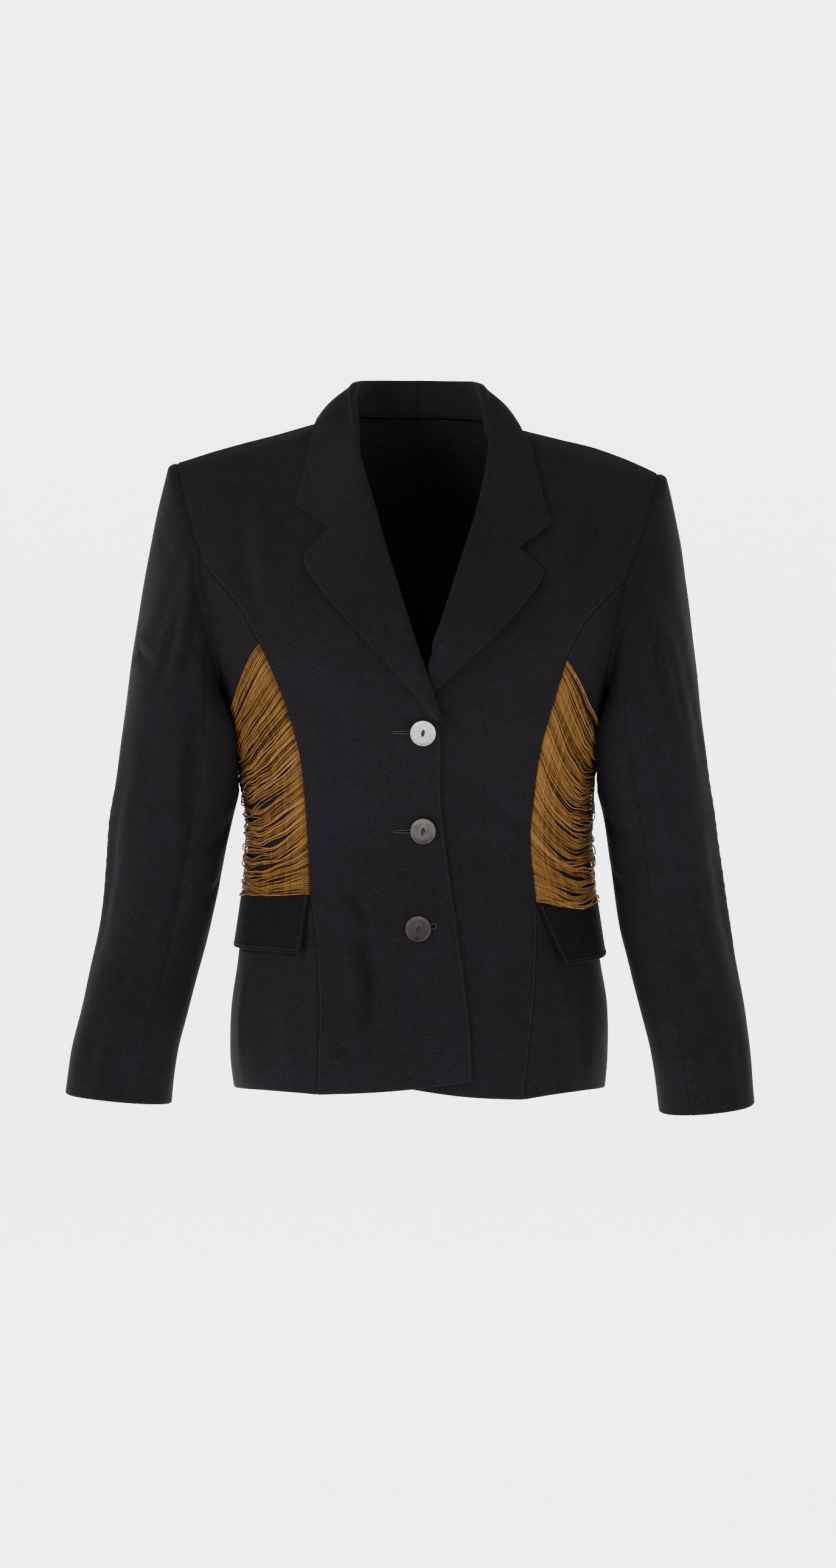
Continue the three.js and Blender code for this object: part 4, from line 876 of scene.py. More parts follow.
sleeve_grid = {}
for side in ("right", "left"):
    grid, turn = sleeve_points(side)
    out = ringed_out(grid, side)
    middle = grid[:, :-1].mean(axis=1)[:, None]
    if np.mean(np.sum(out * (grid - middle), -1)) < 0:
        out = -out
    folds = []
    for fold_points, fold_width, fold_depth in SLEEVE_FOLDS[side]:
        spots = along(fold_points, 22)
        line = []
        for spot_turn, spot_z in spots:
            column = np.argmin(np.abs(turn - spot_turn))
            line.append(grid[np.argmin(np.abs(grid[:, column, 2] - spot_z)), column])
        folds.append((np.array(line), fold_width * 0.85, fold_depth * 1.35))
    fade = ease(np.arange(len(grid)), 4, 16)[:, None]
    lift = (fold_height(grid, folds) + 1.5 * slow_wave(grid)) * fade
    grid = grid + out * lift[..., None]
    grid[7:] = clear_of_body(grid[7:], side)
    sleeve_grid[side] = grid
    round_count = grid.shape[1] - 1
    for name, (start_at, end_at), cut in (
        ("under_sleeve", UNDER_SLEEVE, SLEEVE_CUT[side][0]),
        ("upper_sleeve", (UNDER_SLEEVE[1] - round_count, UNDER_SLEEVE[0]), SLEEVE_CUT[side][1]),
    ):
        pick = np.arange(start_at, end_at + 1) % round_count
        part, part_out = grid[:, pick].copy(), out[:, pick]
        for edge, beside in ((0, 1), (-1, -2)):
            toward = unit(part[:, beside] - part[:, edge])
            part[:, edge] += toward * SEAM_GAP / 2
        close = [part[:, :1] + (part[:, 1:2] - part[:, :1]) * t for t in (0.14, 0.34)]
        close_end = [part[:, -1:] + (part[:, -2:-1] - part[:, -1:]) * t for t in (0.34, 0.14)]
        normals = [part_out[:, :1]] * 3 + [part_out[:, 1:-1]] + [part_out[:, -1:]] * 3
        part = np.concatenate([part[:, :1], *close, part[:, 1:-1], *close_end, part[:, -1:]], axis=1)
        part_out = np.concatenate(normals, axis=1)
        roll = seam_roll(part, ["left", "right", "top"])
        made = wall(f"{side}_{name}", part + part_out * roll[..., None], part_out, SLEEVE_THICK, "bottom")
        dress(made, f"{side}_{name}", black_crepe)


# ---- Lapels and collar -----------------------------------------------------
# The facing of each front turned back along the roll line and cut in one with
# half of the collar, which stands and falls round the back of the neck.
LAPEL_THICK = 1.8
LAPEL_FLAT = 3.4
FOLD_RADIUS = 3.1
COLLAR_BELLY = 2.2
# fold x z, edge x z; then for rows that stand round the neck: y of the fold,
# y of the edge, and the stand's foot; a row marked flat has no roll
LAPEL = {
    "right": [
        ((19.6, -270), (12.5, -264.5)), ((14.6, -255), (-5, -244)), ((5.6, -228), (-35, -210.5)),
        ((-2.8, -204), (-60, -183.5)), ((-11.5, -178), (-80, -160.4)), ((-20, -150), (-94.5, -141)),
        ((-26.5, -129), (-101.6, -128.5)), ((-30, -118), (-103.2, -119.9)),
        ((-35, -100), (-80, -94.9)), ((-40.5, -79), (-110.5, -73.3)), ((-45.5, -62), (-106.5, -57)),
        ((-51, -44), (-102, -42)), ((-55.8, -24), (-99.3, -26)),
        ((-59, 5), (-96.5, -5), -28, -16, (-57, -25, -1)),
        ((-61.8, 26), (-93.5, 5.4), -6, -7, (-65.5, -6, 13)),
        ((-61, 39), (-90, 9), 12, 12, (-65.5, 10, 13)),
        ((-55, 43), (-76, -5), 30, 34, (-54, 28.5, 12.6)),
        ((-41, 44), (-56, -8.5), 47, 57.5, (-40, 43.5, 12.6)),
        ((-22, 44.5), (-32, -8.5), 57, 71.5, (-22, 54, 12.6)),
        ((0, 45), (0, -9), 60.5, 77, (0, 57.6, 12.6)),
    ],
    "left": [
        ((13.2, -240), (19.5, -239), "flat"), ((9.6, -229), (29, -228.5), "flat"),
        ((9.4, -219), (41, -217.5), "flat"), ((15, -202), (61, -199.5)), ((22.8, -180), (80, -181)),
        ((33.9, -146.5), (103.2, -152.6)), ((38, -134), (110.5, -141.5)), ((40, -127.5), (112.7, -132.6)),
        ((45.5, -110), (89.4, -112.7)), ((50.5, -94), (120.4, -89.9)), ((54, -82), (115.6, -77)),
        ((60, -58), (109.9, -56)), ((64, -36), (105.3, -36)), ((66.8, -16), (101, -17)),
        ((65.3, 1), (97, -10), -21, -15, (63.5, -17, -4)),
        ((62, 24), (92, 1.6), -4, -5, (66, -6, 7.4)),
        ((60, 37), (87.5, 5.5), 12, 12, (65.5, 10, 7.4)),
        ((54, 42), (76, -7), 30, 34, (54, 28.5, 9.2)),
        ((41, 43.5), (56, -9.5), 47, 57.5, (40, 43.5, 10.8)),
        ((22, 44.3), (32, -9), 57, 71.5, (22, 54, 12.2)),
        ((0, 45), (0, -9), 60.5, 77, (0, 57.6, 12.6)),
    ],
}
LAPEL_CORNERS = {"right": (7, 8, 9), "left": (7, 8, 9)}
# the lapel's section: share of its width, distance from the fold, height over the front
ROLL = columns(
    "share beyond high",
    (0, 0.3, -1.9), (0, -1.0, -0.2), (0, -1.4, 2.2), (0, 0.9, 4.5), (0.26, 0, 4.9),
    (0.52, 0, 4.0), (0.78, 0, 3.3), (1, 0, 2.8),
)


def lapel_row(side, row):
    (fold_x, fold_z), (edge_x, edge_z) = row[:2]
    if len(row) < 4:
        width = math.hypot(edge_x - fold_x, edge_z - fold_z)
        flat = len(row) == 3
        part = np.arange(8) / 7 if flat else ROLL["share"] + ROLL["beyond"] / width
        high = np.full(8, LAPEL_FLAT) if flat else ROLL["high"]
        x, z = mix(fold_x, edge_x, part), mix(fold_z, edge_z, part)
        return on_body(around_at(x, z), z, high + overlap_shift(side, x, z))
    fold_y, edge_y, stand = row[2:]
    fold, edge = np.array([fold_x, fold_y, fold_z]), np.array([edge_x, edge_y, edge_z])
    stand = np.array(stand, float)
    outward = unit((edge - stand) * np.array([1, 1, 0]))
    below = fold - np.array([0, 0, FOLD_RADIUS])
    ahead = below + outward * FOLD_RADIUS
    part = ROLL["share"][4:, None]
    belly = np.sin(part * np.pi) * COLLAR_BELLY
    fall = ahead + (edge - ahead) * part + outward * belly + np.array([0, 0, 1]) * belly
    return np.vstack([stand, below - outward * FOLD_RADIUS, fold, ahead, fall])


def refined(knots, steps, corners=()):
    """Rows of points filled in smoothly between their knots, sharp at the corners."""
    last = len(knots) - 1
    before = np.vstack([knots[:1], knots[:-1]])
    after = np.vstack([knots[1:], knots[-1:]])
    slope = (after - before) / 2
    slope_in, slope_out = slope.copy(), slope.copy()
    slope_in[last], slope_out[0] = knots[last] - knots[last - 1], knots[1] - knots[0]
    for i in corners:
        slope_in[i] = knots[i] - knots[i - 1]
        slope_out[i] = knots[i + 1] - knots[i]
    filled = []
    for i in range(last):
        for t in np.linspace(0, 1, steps + 1)[:-1]:
            filled.append(hermite(knots[i], slope_out[i], knots[i + 1], slope_in[i + 1], t))
    return np.array(filled + [knots[last]])


lapel_grid, lapel_out = {}, {}
for side in ("right", "left"):
    knots = np.array([lapel_row(side, row) for row in LAPEL[side]])
    knots[-1, :, 0] += sign(side) * SEAM_GAP / 2
    soft_rows, sharp_rows = refined(knots, 9), refined(knots, 9, LAPEL_CORNERS[side])
    weight = (np.arange(8) / 7)[None, :, None] ** 1.5
    grid = mix(soft_rows, sharp_rows, weight)
    grid = np.swapaxes(refined(np.swapaxes(grid, 0, 1), 6), 0, 1)
    middle_line = grid[-1].copy()
    out = grid_out(grid, side)
    grid += out * (0.8 * slow_wave(grid))[..., None]
    grid[-1, :, 0] = middle_line[:, 0]
    lapel_grid[side], lapel_out[side] = grid, out
    made = wall(side + "_lapel_and_collar", grid, out, LAPEL_THICK, "left right top")
    dress(made, side + "_lapel_and_collar", black_crepe)


# ---- Pocket flaps ----------------------------------------------------------
# A double flap on each hip, sewn in under the cords' lower edge, hanging free
# and swinging out a little at its front corner.
FLAP_THICK = 2.4
FLAP_LIFT = 0.8
FLAP_BACK = 98
FLAP_CURL = 1.4
FLAP = {
    "right": {"top": (-427.5, -424.5), "bottom": (-480, -473), "slant": 5.5, "kick": (4.6, 1.6)},
    "left": {"top": (-435.5, -431), "bottom": (-491, -479), "slant": 19.5, "kick": (7.5, 1.6)},
}
flap_grid = {}
flap_crepe_painted_shade = crepe("flap_crepe_painted_shade", 0.55)  # a darker copy of the same crepe: painted shade, for the shade the flaps lie in
for side in ("right", "left"):
    to, shape = sign(side), FLAP[side]
    down = np.linspace(0, 1, 25)[:, None]
    back_share = shares(34, 0.012, 0.012)[None, :]
    z = mix(mix(*shape["top"], back_share), mix(*shape["bottom"], back_share), down)
    seam_x = smooth(SIDE_SEAMS, "z", side)(shape["top"][0])
    front_turn = around_at(to * (seam_x + 1 + shape["slant"] * down), z)
    swing = mix(*shape["kick"], back_share) * down**FLAP_CURL
    high = FLAP_THICK + FLAP_LIFT + swing
    turns = mix(front_turn, to * FLAP_BACK, back_share)
    grid = on_body(turns, z, high + 0.0 * turns)
    out = skin_out(turns, z)
    grid += out * (0.5 * slow_wave(grid) * down - 0.5 * np.exp(-((down / 0.06) ** 2)))[..., None]
    flap_grid[side] = (grid, out)
    made = wall(side + "_pocket_flap", grid, out, FLAP_THICK, "left right bottom")
    dress(made, side + "_pocket_flap", flap_crepe_painted_shade)


# ---- Topstitching ----------------------------------------------------------
# A single row of stitches in a slightly lighter thread, two millimetres in
# from the lapels, collar, front edge and flaps, and beside the front seams.
STITCH_LONG = 2.2
STITCH_PITCH = 2.9
STITCH_RADIUS = 0.3
EDGE_TO_STITCH = 1.5
thread_finish, thread_shader, thread_start = finish_of("dark_thread")
thread_place = thread_start.node("ShaderNodeTexCoord", output=3)
thread_tone = thread_start.node("ShaderNodeTexNoise", inputs={"Vector": thread_place, "Scale": 700.0})
thread_tone.blend((0.007, 0.0064, 0.0078, 1), (0.022, 0.020, 0.0235, 1)).feed(
    thread_shader.inputs["Base Color"])
(0.5 + thread_tone * 0.2).feed(thread_shader.inputs["Roughness"])
thread_shader.inputs["Specular IOR Level"].default_value = 0.12


def stitch_row(line, out, long, pitch, radius, height=0.12):
    """Separate stitches along a line, each a small rounded bar lying in the cloth."""
    step = np.r_[0, np.cumsum(np.linalg.norm(np.diff(line, axis=0), axis=1))]
    points, faces = [], []
    sides, profile = 5, [(-0.5, 0.25, -0.5), (-0.3, 0.9, 0.6), (0.3, 0.9, 0.6), (0.5, 0.25, -0.5)]
    for start in np.arange(pitch * 0.6, step[-1] - long, pitch):
        place = np.array([np.interp(start, step, line[:, k]) for k in range(3)])
        ahead = np.array([np.interp(start + long, step, line[:, k]) for k in range(3)])
        normal = unit(np.array([np.interp(start, step, out[:, k]) for k in range(3)]))
        direction = unit(ahead - place)
        sideways = np.cross(direction, normal)
        first = len(points)
        for part, fat, lifted in profile:
            middle = (place + ahead) / 2 + direction * part * long + normal * (height + lifted * radius)
            for k in range(sides):
                turn = 2 * math.pi * k / sides
                points.append(middle + (normal * math.sin(turn) + sideways * math.cos(turn)) * radius * fat)
        for ring in range(3):
            for k in range(sides):
                a, b = first + ring * sides + k, first + ring * sides + (k + 1) % sides
                faces.append((a, b, b + sides, a + sides))
        faces.append(tuple(first + k for k in range(sides))[::-1])
        faces.append(tuple(first + 3 * sides + k for k in range(sides)))
    return points, faces


def inside_edge(grid, at, beside, distance):
    """The line that lies a distance in from one edge of a grid."""
    line = []
    for row in range(grid.shape[0]):
        cells = grid[row, at::beside] if beside > 0 else grid[row, ::-1]
        step = np.r_[0, np.cumsum(np.linalg.norm(np.diff(cells, axis=0), axis=1))]
        line.append([np.interp(distance, step, cells[:, k]) for k in range(3)])
    return np.array(line)


def sew(name, rows, material, long=STITCH_LONG, pitch=STITCH_PITCH, radius=STITCH_RADIUS):
    """One object from several rows of stitches."""
    points, faces = [], []
    for line, out in rows:
        more_points, more_faces = stitch_row(line, out, long, pitch, radius)
        faces += [tuple(i + len(points) for i in face) for face in more_faces]
        points += more_points
    made = piece(name, np.array(points) / 1000, faces)
    made.data.materials.append(material)
    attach(made, "root")
    return made


CORD_TOP = {"right": -199, "left": -213}
CORD_FOOT = {"right": -427, "left": -436}
for side in ("right", "left"):
    rows = []
    front_grid = panel_grid[side + "_front"]
    normals = grid_out(front_grid, side)
    if normals[60, 20, 1] > 0:
        normals = -normals
    seam_line = inside_edge(front_grid, 0, -1, EDGE_TO_STITCH)
    seam_out = normals[:, -3]
    from_row = FRONT_SEAM_AT * ARMHOLE_SPLIT + 1
    z = seam_line[:, 2]
    for pick in ((z > CORD_TOP[side]) & (np.arange(len(z)) > from_row), z < CORD_FOOT[side] + 4):
        rows.append((seam_line[pick], seam_out[pick]))
    if side == "right":
        edge_line = inside_edge(front_grid, 0, 1, EDGE_TO_STITCH)
        pick = edge_line[:, 2] < -274
        rows.append((edge_line[pick], normals[pick, 3]))
    rows.append((inside_edge(lapel_grid[side], 0, -1, EDGE_TO_STITCH + 0.4), lapel_out[side][:, -3]))
    grid, out = flap_grid[side]
    rows.append((grid[-2], out[-2]))
    rows.append((inside_edge(grid, 0, 1, EDGE_TO_STITCH), out[:, 2]))
    sew(side + "_topstitching", rows, thread_finish)


# ---- Buttonholes -----------------------------------------------------------
# Three keyhole buttonholes in the right front, each cut with a round eye
# towards the edge and whipped all round with close dark stitches.
HOLE_LONG = 24.0
HOLE_BLIND = 0.3
HOLE_HALF = 0.95
HOLE_EYE = 1.9
WHIP_RADIUS = 0.5
WHIP_PITCH = 0.9
HOLES = [(-21.8, -279.5), (-21.3, -369.5), (-10.5, -455.5)]  # the slit's blind end: x, z
hole_finish, hole_shader, hole_start = finish_of("slit_shadow")
hole_place = hole_start.node("ShaderNodeTexCoord", output=3)
hole_tone = hole_start.node("ShaderNodeTexNoise", inputs={"Vector": hole_place, "Scale": 900.0})
hole_tone.blend((0.001, 0.001, 0.001, 1), (0.003, 0.003, 0.003, 1)).feed(hole_shader.inputs["Base Color"])
hole_shader.inputs["Roughness"].default_value = 0.95
hole_shader.inputs["Specular IOR Level"].default_value = 0.05
whip_finish, whip_shader, whip_start = finish_of("buttonhole_twist")
whip_place = whip_start.node("ShaderNodeTexCoord", output=3)
whip_tone = whip_start.node("ShaderNodeTexNoise", inputs={"Vector": whip_place, "Scale": 800.0})
whip_tone.blend((0.007, 0.0065, 0.0076, 1), (0.024, 0.022, 0.026, 1)).feed(whip_shader.inputs["Base Color"])
(0.5 + whip_tone * 0.2).feed(whip_shader.inputs["Roughness"])
whip_shader.inputs["Specular IOR Level"].default_value = 0.15


def on_right_front(x, z, high):
    x, z = np.broadcast_arrays(np.asarray(x, float), np.asarray(z, float))
    turn = around_at(x, z)
    plain = skin(turn, z)
    lift = overlap_shift("right", x, z) + fold_height(plain, body_folds) + slow_wave(plain) + high
    return plain + skin_out(turn, z) * lift[..., None], skin_out(turn, z)


def keyhole(x, z, grow):
    """The outline of a keyhole slit as a closed line, grown by an amount."""
    blind, half, eye = HOLE_BLIND + grow, HOLE_HALF + grow, HOLE_EYE + grow
    centre = x + HOLE_LONG
    neck = math.asin(min(half / eye, 1))
    outline = [(x + t * (centre - eye * math.cos(neck) - x), mix(blind, half, t)) for t in np.linspace(0, 1, 16)]
    outline += [(centre - eye * math.cos(turn), eye * math.sin(turn))
                for turn in np.linspace(neck, 2 * math.pi - neck, 18)]
    outline += [(x + t * (centre - eye * math.cos(neck) - x), -mix(blind, half, t)) for t in np.linspace(1, 0, 16)]
    outline += [(x - blind * math.sin(turn), -blind * math.cos(turn)) for turn in np.linspace(0.4, 2.7, 5)]
    outline = np.array(outline)
    return outline[:, 0], z + outline[:, 1]


for number, (hole_x, hole_z) in enumerate(HOLES):
    name = ("top", "middle", "low")[number]
    line_x, line_z = keyhole(hole_x, hole_z, 0.0)
    low, _ = on_right_front(line_x, line_z, 0.16)
    middle, _ = on_right_front(np.array([line_x.mean()]), np.array([hole_z]), 0.16)
    count = len(low)
    fan = [(i, (i + 1) % count, count) for i in range(count)]
    slit = piece(f"slit_{name}", np.vstack([low, middle]) / 1000, fan)
    dress(slit, None, hole_finish)
    line_x, line_z = keyhole(hole_x, hole_z, WHIP_RADIUS)
    line_x, line_z = np.r_[line_x, line_x[:1]], np.r_[line_z, line_z[:1]]
    step = np.r_[0, np.cumsum(np.hypot(np.diff(line_x), np.diff(line_z)))]
    stitches = int(step[-1] / WHIP_PITCH)
    even = np.linspace(0, 1, stitches * 4 + 1)[:-1] * step[-1]
    centre, normal = on_right_front(np.interp(even, step, line_x), np.interp(even, step, line_z), 0.2)
    ahead = unit(np.roll(centre, -1, axis=0) - np.roll(centre, 1, axis=0))
    sideways = unit(np.cross(ahead, normal))
    thick = WHIP_RADIUS * (0.74 + 0.26 * np.abs(np.sin(np.pi * np.arange(len(even)) / 4)))[:, None]
    rings = [centre + (normal * math.sin(turn) + sideways * math.cos(turn)) * thick
             for turn in np.linspace(0, 2 * math.pi, 7)[:-1]]
    points = np.stack(rings, 1).reshape(-1, 3)
    faces = []
    for k in range(len(even)):
        after = (k + 1) % len(even)
        for s in range(6):
            t = (s + 1) % 6
            faces.append((k * 6 + s, k * 6 + t, after * 6 + t, after * 6 + s))
    whip = piece(f"buttonhole_{name}", points / 1000, faces)
    dress(whip, None, whip_finish)


# ---- Gold cords ------------------------------------------------------------
# About a hundred thin twisted metallic cords on each side, caught in the front
# and back princess seams and hanging in swags over the black side panel.
CORDS = 128
CORD_STEPS = 72
CORD_SIDES = 6
CORD_RADIUS = 0.7
# by depth down the row: drop from the front root to the lowest point, where
# that lies round the side, and how straight the cord falls to it
CORD_FALL = {
    "right": columns("down drop low power", (0, 68, 0.52, 1.9), (0.15, 60, 0.50, 1.9),
                     (0.35, 41, 0.42, 1.7), (0.6, 25, 0.32, 1.7), (0.77, 24, 0.26, 1.8),
                     (0.92, 10, 0.3, 2), (1, 1.0, 0.4, 2)),
    "left": columns("down drop low power", (0, 74, 0.54, 1.8), (0.05, 68, 0.42, 2),
                    (0.2, 60, 0.33, 2.1), (0.45, 50, 0.29, 2.1), (0.65, 39, 0.27, 2),
                    (0.85, 20, 0.26, 2), (1, 1.5, 0.25, 2)),
}
FOOT_BELLY = {"right": 0.5, "left": 7.5}  # how far the lowest cords dip over the flap
CORD_ENDS = {"right": (-199.5, -426.5, -204), "left": (-214, -433.5, -212)}  # top, foot, back top
# places where neighbouring cords have parted: how far down the row, share of
# the way round, half length along the cords, and half of the opening in mm
PARTINGS = {
    "right": [
        (0.10, 0.24, 0.05, 0.6), (0.19, 0.15, 0.05, 0.8), (0.27, 0.32, 0.05, 0.6), (0.31, 0.12, 0.05, 0.9),
        (0.40, 0.28, 0.06, 0.9), (0.45, 0.08, 0.04, 0.9), (0.50, 0.34, 0.07, 2.9), (0.535, 0.20, 0.07, 1.6),
        (0.57, 0.34, 0.07, 2.3), (0.625, 0.12, 0.05, 1.3), (0.66, 0.30, 0.06, 1.6), (0.70, 0.17, 0.09, 3.4),
        (0.735, 0.36, 0.06, 2.0), (0.775, 0.10, 0.05, 1.4), (0.81, 0.24, 0.09, 2.6), (0.86, 0.33, 0.08, 1.7),
        (0.90, 0.15, 0.07, 1.4), (0.94, 0.28, 0.09, 1.3),
        (0.3, 0.66, 0.08, 1.9), (0.48, 0.74, 0.07, 2.2), (0.63, 0.62, 0.08, 2.4), (0.8, 0.7, 0.09, 1.9),
    ],
    "left": [
        (0.022, 0.34, 0.22, 4.2), (0.075, 0.20, 0.10, 1.4), (0.12, 0.36, 0.06, 2.4), (0.17, 0.16, 0.05, 0.8),
        (0.22, 0.34, 0.06, 1.5), (0.30, 0.24, 0.06, 1.1), (0.36, 0.38, 0.06, 1.5), (0.41, 0.18, 0.05, 0.9),
        (0.45, 0.33, 0.07, 1.6), (0.52, 0.22, 0.06, 1.1), (0.56, 0.38, 0.06, 1.8), (0.62, 0.30, 0.07, 1.3),
        (0.67, 0.18, 0.06, 1.5), (0.71, 0.34, 0.08, 2.4), (0.78, 0.22, 0.10, 2.3), (0.84, 0.36, 0.08, 1.9),
        (0.89, 0.20, 0.09, 1.6), (0.95, 0.30, 0.12, 1.6),
        (0.3, 0.66, 0.08, 1.9), (0.5, 0.72, 0.07, 2.2), (0.66, 0.64, 0.08, 2.3), (0.82, 0.7, 0.09, 1.9),
    ],
}
gold_finish, gold_shader, gold_start = finish_of("gold_cord")
gold_way = gold_start.node("ShaderNodeUVMap", {"uv_map": "threads"})
gold_twist = gold_start.node("ShaderNodeTexWave", {"bands_direction": "DIAGONAL"},
                             {"Vector": gold_way, "Scale": 0.8, "Distortion": 0.8, "Detail Scale": 2.0}, 1)
gold_tone = gold_start.node("ShaderNodeVertexColor", {"layer_name": "tone"}, output=0)
gold_share = gold_start.node("ShaderNodeSeparateColor", inputs={"Color": gold_tone})
gold_place = gold_start.node("ShaderNodeTexCoord", output=3)
gold_flecks = gold_start.node("ShaderNodeTexNoise", inputs={"Vector": gold_way, "Scale": 0.5, "Detail": 3.0})
gold_worn = gold_start.node("ShaderNodeTexNoise", inputs={"Vector": gold_place, "Scale": 260.0, "Detail": 3.0})
# the twist's stripes lighten and darken the colour along each cord: painted highlight on the strands' ridges and
# painted shade in the grooves between them
gold_mix = gold_share * 0.9 + gold_twist * 0.22 + (gold_flecks * 1.5 + gold_worn * 0.45 - 1.02)
gold_mix.blend((0.013, 0.0055, 0.0013, 1), (0.238, 0.115, 0.033, 1)).feed(gold_shader.inputs["Base Color"])
(0.38 + gold_flecks * 0.2).feed(gold_shader.inputs["Roughness"])
gold_shader.inputs["Metallic"].default_value = 0.4
gold_shader.inputs["Specular IOR Level"].default_value = 0.1
gold_shader.inputs["Specular Tint"].default_value = (0.42, 0.24, 0.08, 1)
gold_start.node("ShaderNodeBump", inputs={
    "Height": gold_twist, "Distance": 0.0003, "Strength": 0.7}).feed(gold_shader.inputs["Normal"])

for side in ("right", "left"):
    to = sign(side)
    chance = np.random.default_rng({"right": 11, "left": 23}[side])
    top_z, foot_z, back_top_z = CORD_ENDS[side]
    front_x, back_x = smooth(SIDE_SEAMS, "z", side), smooth(SIDE_SEAMS, "z", side + "Back")
    share = np.linspace(0, 1, CORD_STEPS + 1)
    bunch = chance.uniform(0, 2 * math.pi, (4,))
    paths = []
    for i in range(CORDS):
        down = i / (CORDS - 1)
        fall = CORD_FALL[side]
        drop, low, power = (np.interp(down, fall["down"], fall[key]) for key in ("drop", "low", "power"))
        drop *= 1 + chance.normal(0, 0.012)
        low += chance.normal(0, 0.008)
        front_z = mix(top_z, foot_z, down)
        back_z = mix(back_top_z, foot_z, down)
        low_z = min(front_z, back_z) - drop
        before = front_z - (front_z - low_z) * (1 - np.clip((low - share) / low, 0, 1) ** power)
        beyond = np.clip((share - low) / (1 - low), 0, 1)
        after = low_z + (back_z - low_z) * beyond**1.6
        z = np.where(share < low, before, after)
        free = np.sin(np.pi * share) ** 0.6
        waves = chance.uniform(0, 2 * math.pi, 3)
        z = z + free * (1.3 * np.sin(i / 4.1 + bunch[0] + 2.2 * share) * np.sin(i / 9.7 + bunch[1])
                        + 0.5 * np.sin(i / 1.9 + bunch[2] + 5 * share)
                        + 1.3 * np.sin(i / 6.3 + bunch[3] + 19 * share)
                        + 0.9 * np.sin(i / 9.1 + bunch[1] + 41 * share) * np.sin(i / 3.7 + bunch[2])
                        + 0.5 * np.sin(waves[0] + chance.uniform(18, 34) * share)
                        + 0.35 * np.sin(waves[1] + chance.uniform(38, 62) * share) + chance.normal(0, 0.3))
        for gap_down, gap_share, gap_long, gap_half in PARTINGS[side]:
            away = i + 0.5 - gap_down * CORDS
            z = z - (math.copysign(gap_half, away) * math.exp(-abs(away) / 2.6)
                     * np.exp(-(((share - gap_share) / gap_long) ** 2)))
        z = z - FOOT_BELLY[side] * np.exp(-(((share - 0.22) / 0.13) ** 2)) * ease(down, 0.84, 1)
        z = np.maximum(z, foot_z - (2.5 if side == "right" else 9.0) * free - 0.004 * (CORDS - 1 - i))
        turn = mix(around_at(to * front_x(front_z), front_z),
                   around_at(to * back_x(back_z), back_z, True), share)
        high = -0.9 + 2.5 * np.sin(np.pi * share) ** 0.22
        high = high + free * (0.1 + 0.5 * math.sin(i * 2.1) + 0.35 * math.sin(i * 0.7) + 0.3 * chance.random())
        stray = 2.2 * (chance.random() < 0.12) * np.exp(-(((share - 0.47) / 0.13) ** 2))
        panel_at = skin(turn, z)
        swell = np.maximum(fold_height(panel_at, body_folds) + slow_wave(panel_at), 0)
        high = high + stray + swell
        high = mix(high, np.maximum(high, 4.3), ease(foot_z + 1 - z, 0, 3))
        paths.append(on_body(turn, z, high))
    points, faces, threads, tones = [], [], [], []
    for path in paths:
        tone = float(np.clip(chance.normal(0.5, 0.23), 0.05, 0.95))
        step = np.r_[0, np.cumsum(np.linalg.norm(np.diff(path, axis=0), axis=1))]
        ahead = unit(np.gradient(path, axis=0))
        outward = unit(path - np.array([0, SIDE_Y, 0]) * 1.0 - path * np.array([0, 0, 1]))
        sideways = unit(np.cross(ahead, outward))
        outward = np.cross(sideways, ahead)
        radius = CORD_RADIUS * chance.uniform(0.9, 1.1)
        first = len(points)
        for k in range(len(path)):
            for s in range(CORD_SIDES):
                turn = 2 * math.pi * s / CORD_SIDES
                points.append(path[k] + (outward[k] * math.sin(turn) + sideways[k] * math.cos(turn)) * radius)
                threads.append((step[k], s * 0.65))
                tones.append(tone)
        for k in range(len(path) - 1):
            for s in range(CORD_SIDES):
                a, b = first + k * CORD_SIDES + s, first + k * CORD_SIDES + (s + 1) % CORD_SIDES
                faces.append((a, b, b + CORD_SIDES, a + CORD_SIDES))
        faces.append(tuple(first + s for s in range(CORD_SIDES))[::-1])
        faces.append(tuple(len(points) - CORD_SIDES + s for s in range(CORD_SIDES)))
    cords = piece(side + "_gold_cords", np.array(points) / 1000, faces, np.array(threads))
    layer = cords.data.color_attributes.new("tone", "FLOAT_COLOR", "POINT")
    tone_values = np.array(tones)
    layer.data.foreach_set("color", np.stack([tone_values] * 3 + [np.ones_like(tone_values)], -1).ravel())
    dress(cords, side + "_gold_cords", gold_finish)


# ---- Buttons ---------------------------------------------------------------
# Flat brushed pewter discs with a thin raised rim and one small slanted slot,
# sewn through with dark thread.
BUTTON_RADIUS = 11.5
BUTTON_THICK = 2.2
SLOT_LONG, SLOT_WIDE, SLOT_TILT = 6.4, 2.8, 0.2
# name, x, z, room under it, colour, label; the colours are lit and shaded copies of one pewter: lighter on the top
# button as a painted reflection, darker on the middle and low ones as painted shade
BUTTONS = [
    ("button_top", 4, -280, 0.25, (0.29, 0.272, 0.262), "button_light"),
    ("button_middle", 4, -369, 1.1, (0.055, 0.048, 0.046), "button_mid"),
    ("button_low", -0.3, -458, 0.35, (0.040, 0.033, 0.0315), "button_dark"),
]
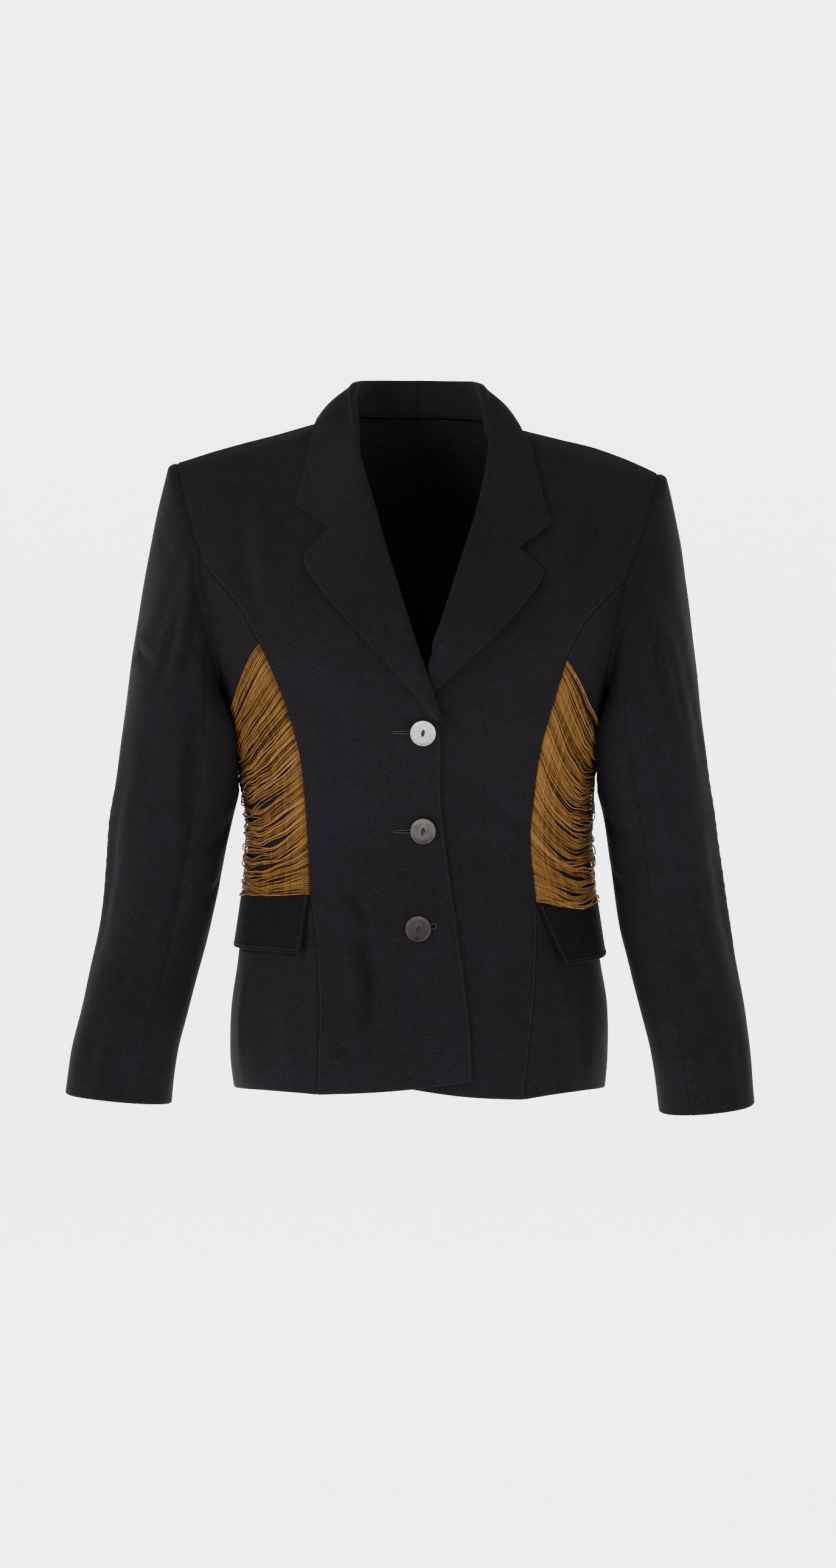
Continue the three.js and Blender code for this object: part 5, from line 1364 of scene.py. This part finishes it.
# from the outside in: share of the way from the rim to the slot, height
BUTTON_PROFILE = [(0, -0.9), (-0.012, -0.2), (0.0, 0.12), (0.035, 0.22), (0.07, 0.12), (0.1, -0.02),
                  (0.55, -0.06), (0.93, -0.04), (0.985, -0.16), (1.0, -0.5), (1.0, -1.7), (0.97, -2.0),
                  (0.1, -2.0), (0.0, -1.7)]
for name, x, z, shank, colour, painted_light_label in BUTTONS:
    metal, metal_shader, metal_start = finish_of(name + "_pewter")
    metal_place = metal_start.node("ShaderNodeTexCoord", output=3)
    metal_grain = metal_start.node("ShaderNodeMapping", inputs={
        "Vector": metal_place, "Rotation": (0, 0.5, 0), "Scale": (2600.0, 400.0, 130.0)})
    scratches = metal_start.node("ShaderNodeTexNoise", inputs={"Vector": metal_grain, "Scale": 1.0, "Detail": 4.0})
    cloudy = metal_start.node("ShaderNodeTexNoise", inputs={"Vector": metal_place, "Scale": 210.0, "Detail": 4.0})
    worn = scratches * 0.65 + cloudy * 1.2 - 0.42
    # colour holds this button's painted light: a painted reflection on the top one, painted shade on the two lower
    # ones
    dark = tuple(0.5 * c for c in colour)
    worn.blend((*dark, 1), (*[min(1.45 * c, 1) for c in colour], 1)).feed(metal_shader.inputs["Base Color"])
    (0.3 + scratches * 0.22).feed(metal_shader.inputs["Roughness"])
    metal_start.node("ShaderNodeBump", inputs={
        "Height": scratches, "Distance": 0.0002, "Strength": 0.35}).feed(metal_shader.inputs["Normal"])
    metal_shader.inputs["Metallic"].default_value = 0.92
    around = float(around_at(x, z))
    high = float(overlap_shift("right", x, z)) + shank + BUTTON_THICK
    centre = on_body(around, z, high)
    axis = skin_out(around, z)
    level = unit(np.cross(np.array([0, 0, 1.0]), axis))
    upright = np.cross(axis, level)
    turns = np.linspace(0, 2 * math.pi, 73)[:-1]
    rings = []
    for part, height in BUTTON_PROFILE:
        rim = np.stack([BUTTON_RADIUS * np.cos(turns), BUTTON_RADIUS * np.sin(turns)], -1)
        slot = np.stack([SLOT_WIDE / 2 * np.cos(turns), SLOT_LONG / 2 * np.sin(turns)], -1)
        tilt = np.array([[math.cos(SLOT_TILT), math.sin(SLOT_TILT)], [-math.sin(SLOT_TILT), math.cos(SLOT_TILT)]])
        flat = rim + (slot @ tilt.T - rim) * part
        rings.append(centre + flat[:, :1] * level + flat[:, 1:] * upright + axis * height)
    points = np.vstack(rings)
    faces = []
    for ring in range(len(rings)):
        after = (ring + 1) % len(rings)
        for k in range(len(turns)):
            j = (k + 1) % len(turns)
            faces.append((ring * 72 + k, ring * 72 + j, after * 72 + j, after * 72 + k))
    made = piece(name, points / 1000, faces)
    dress(made, name, metal)
    strands = []
    for offset in (-0.75, -0.25, 0.25, 0.75):
        ends = [centre + level * (offset + SLOT_TILT * s) + upright * s + axis * h
                for s, h in ((-3.1, -1.5), (-2.2, -0.45), (0, -0.25), (2.2, -0.45), (3.1, -1.5))]
        strands.append(along(ends, 12))
    points, faces = [], []
    for strand in strands:
        ahead = unit(np.gradient(strand, axis=0))
        sideways = unit(np.cross(ahead, axis))
        lifted = np.cross(sideways, ahead)
        first = len(points)
        for k in range(len(strand)):
            for s in range(6):
                turn = math.pi * s / 3
                points.append(strand[k] + (lifted[k] * math.sin(turn) + sideways[k] * math.cos(turn)) * 0.26)
        for k in range(len(strand) - 1):
            for s in range(6):
                a, b = first + k * 6 + s, first + k * 6 + (s + 1) % 6
                faces.append((a, b, b + 6, a + 6))
    bunch = piece(name + "_thread", np.array(points) / 1000, faces)
    dress(bunch, None, thread_finish)
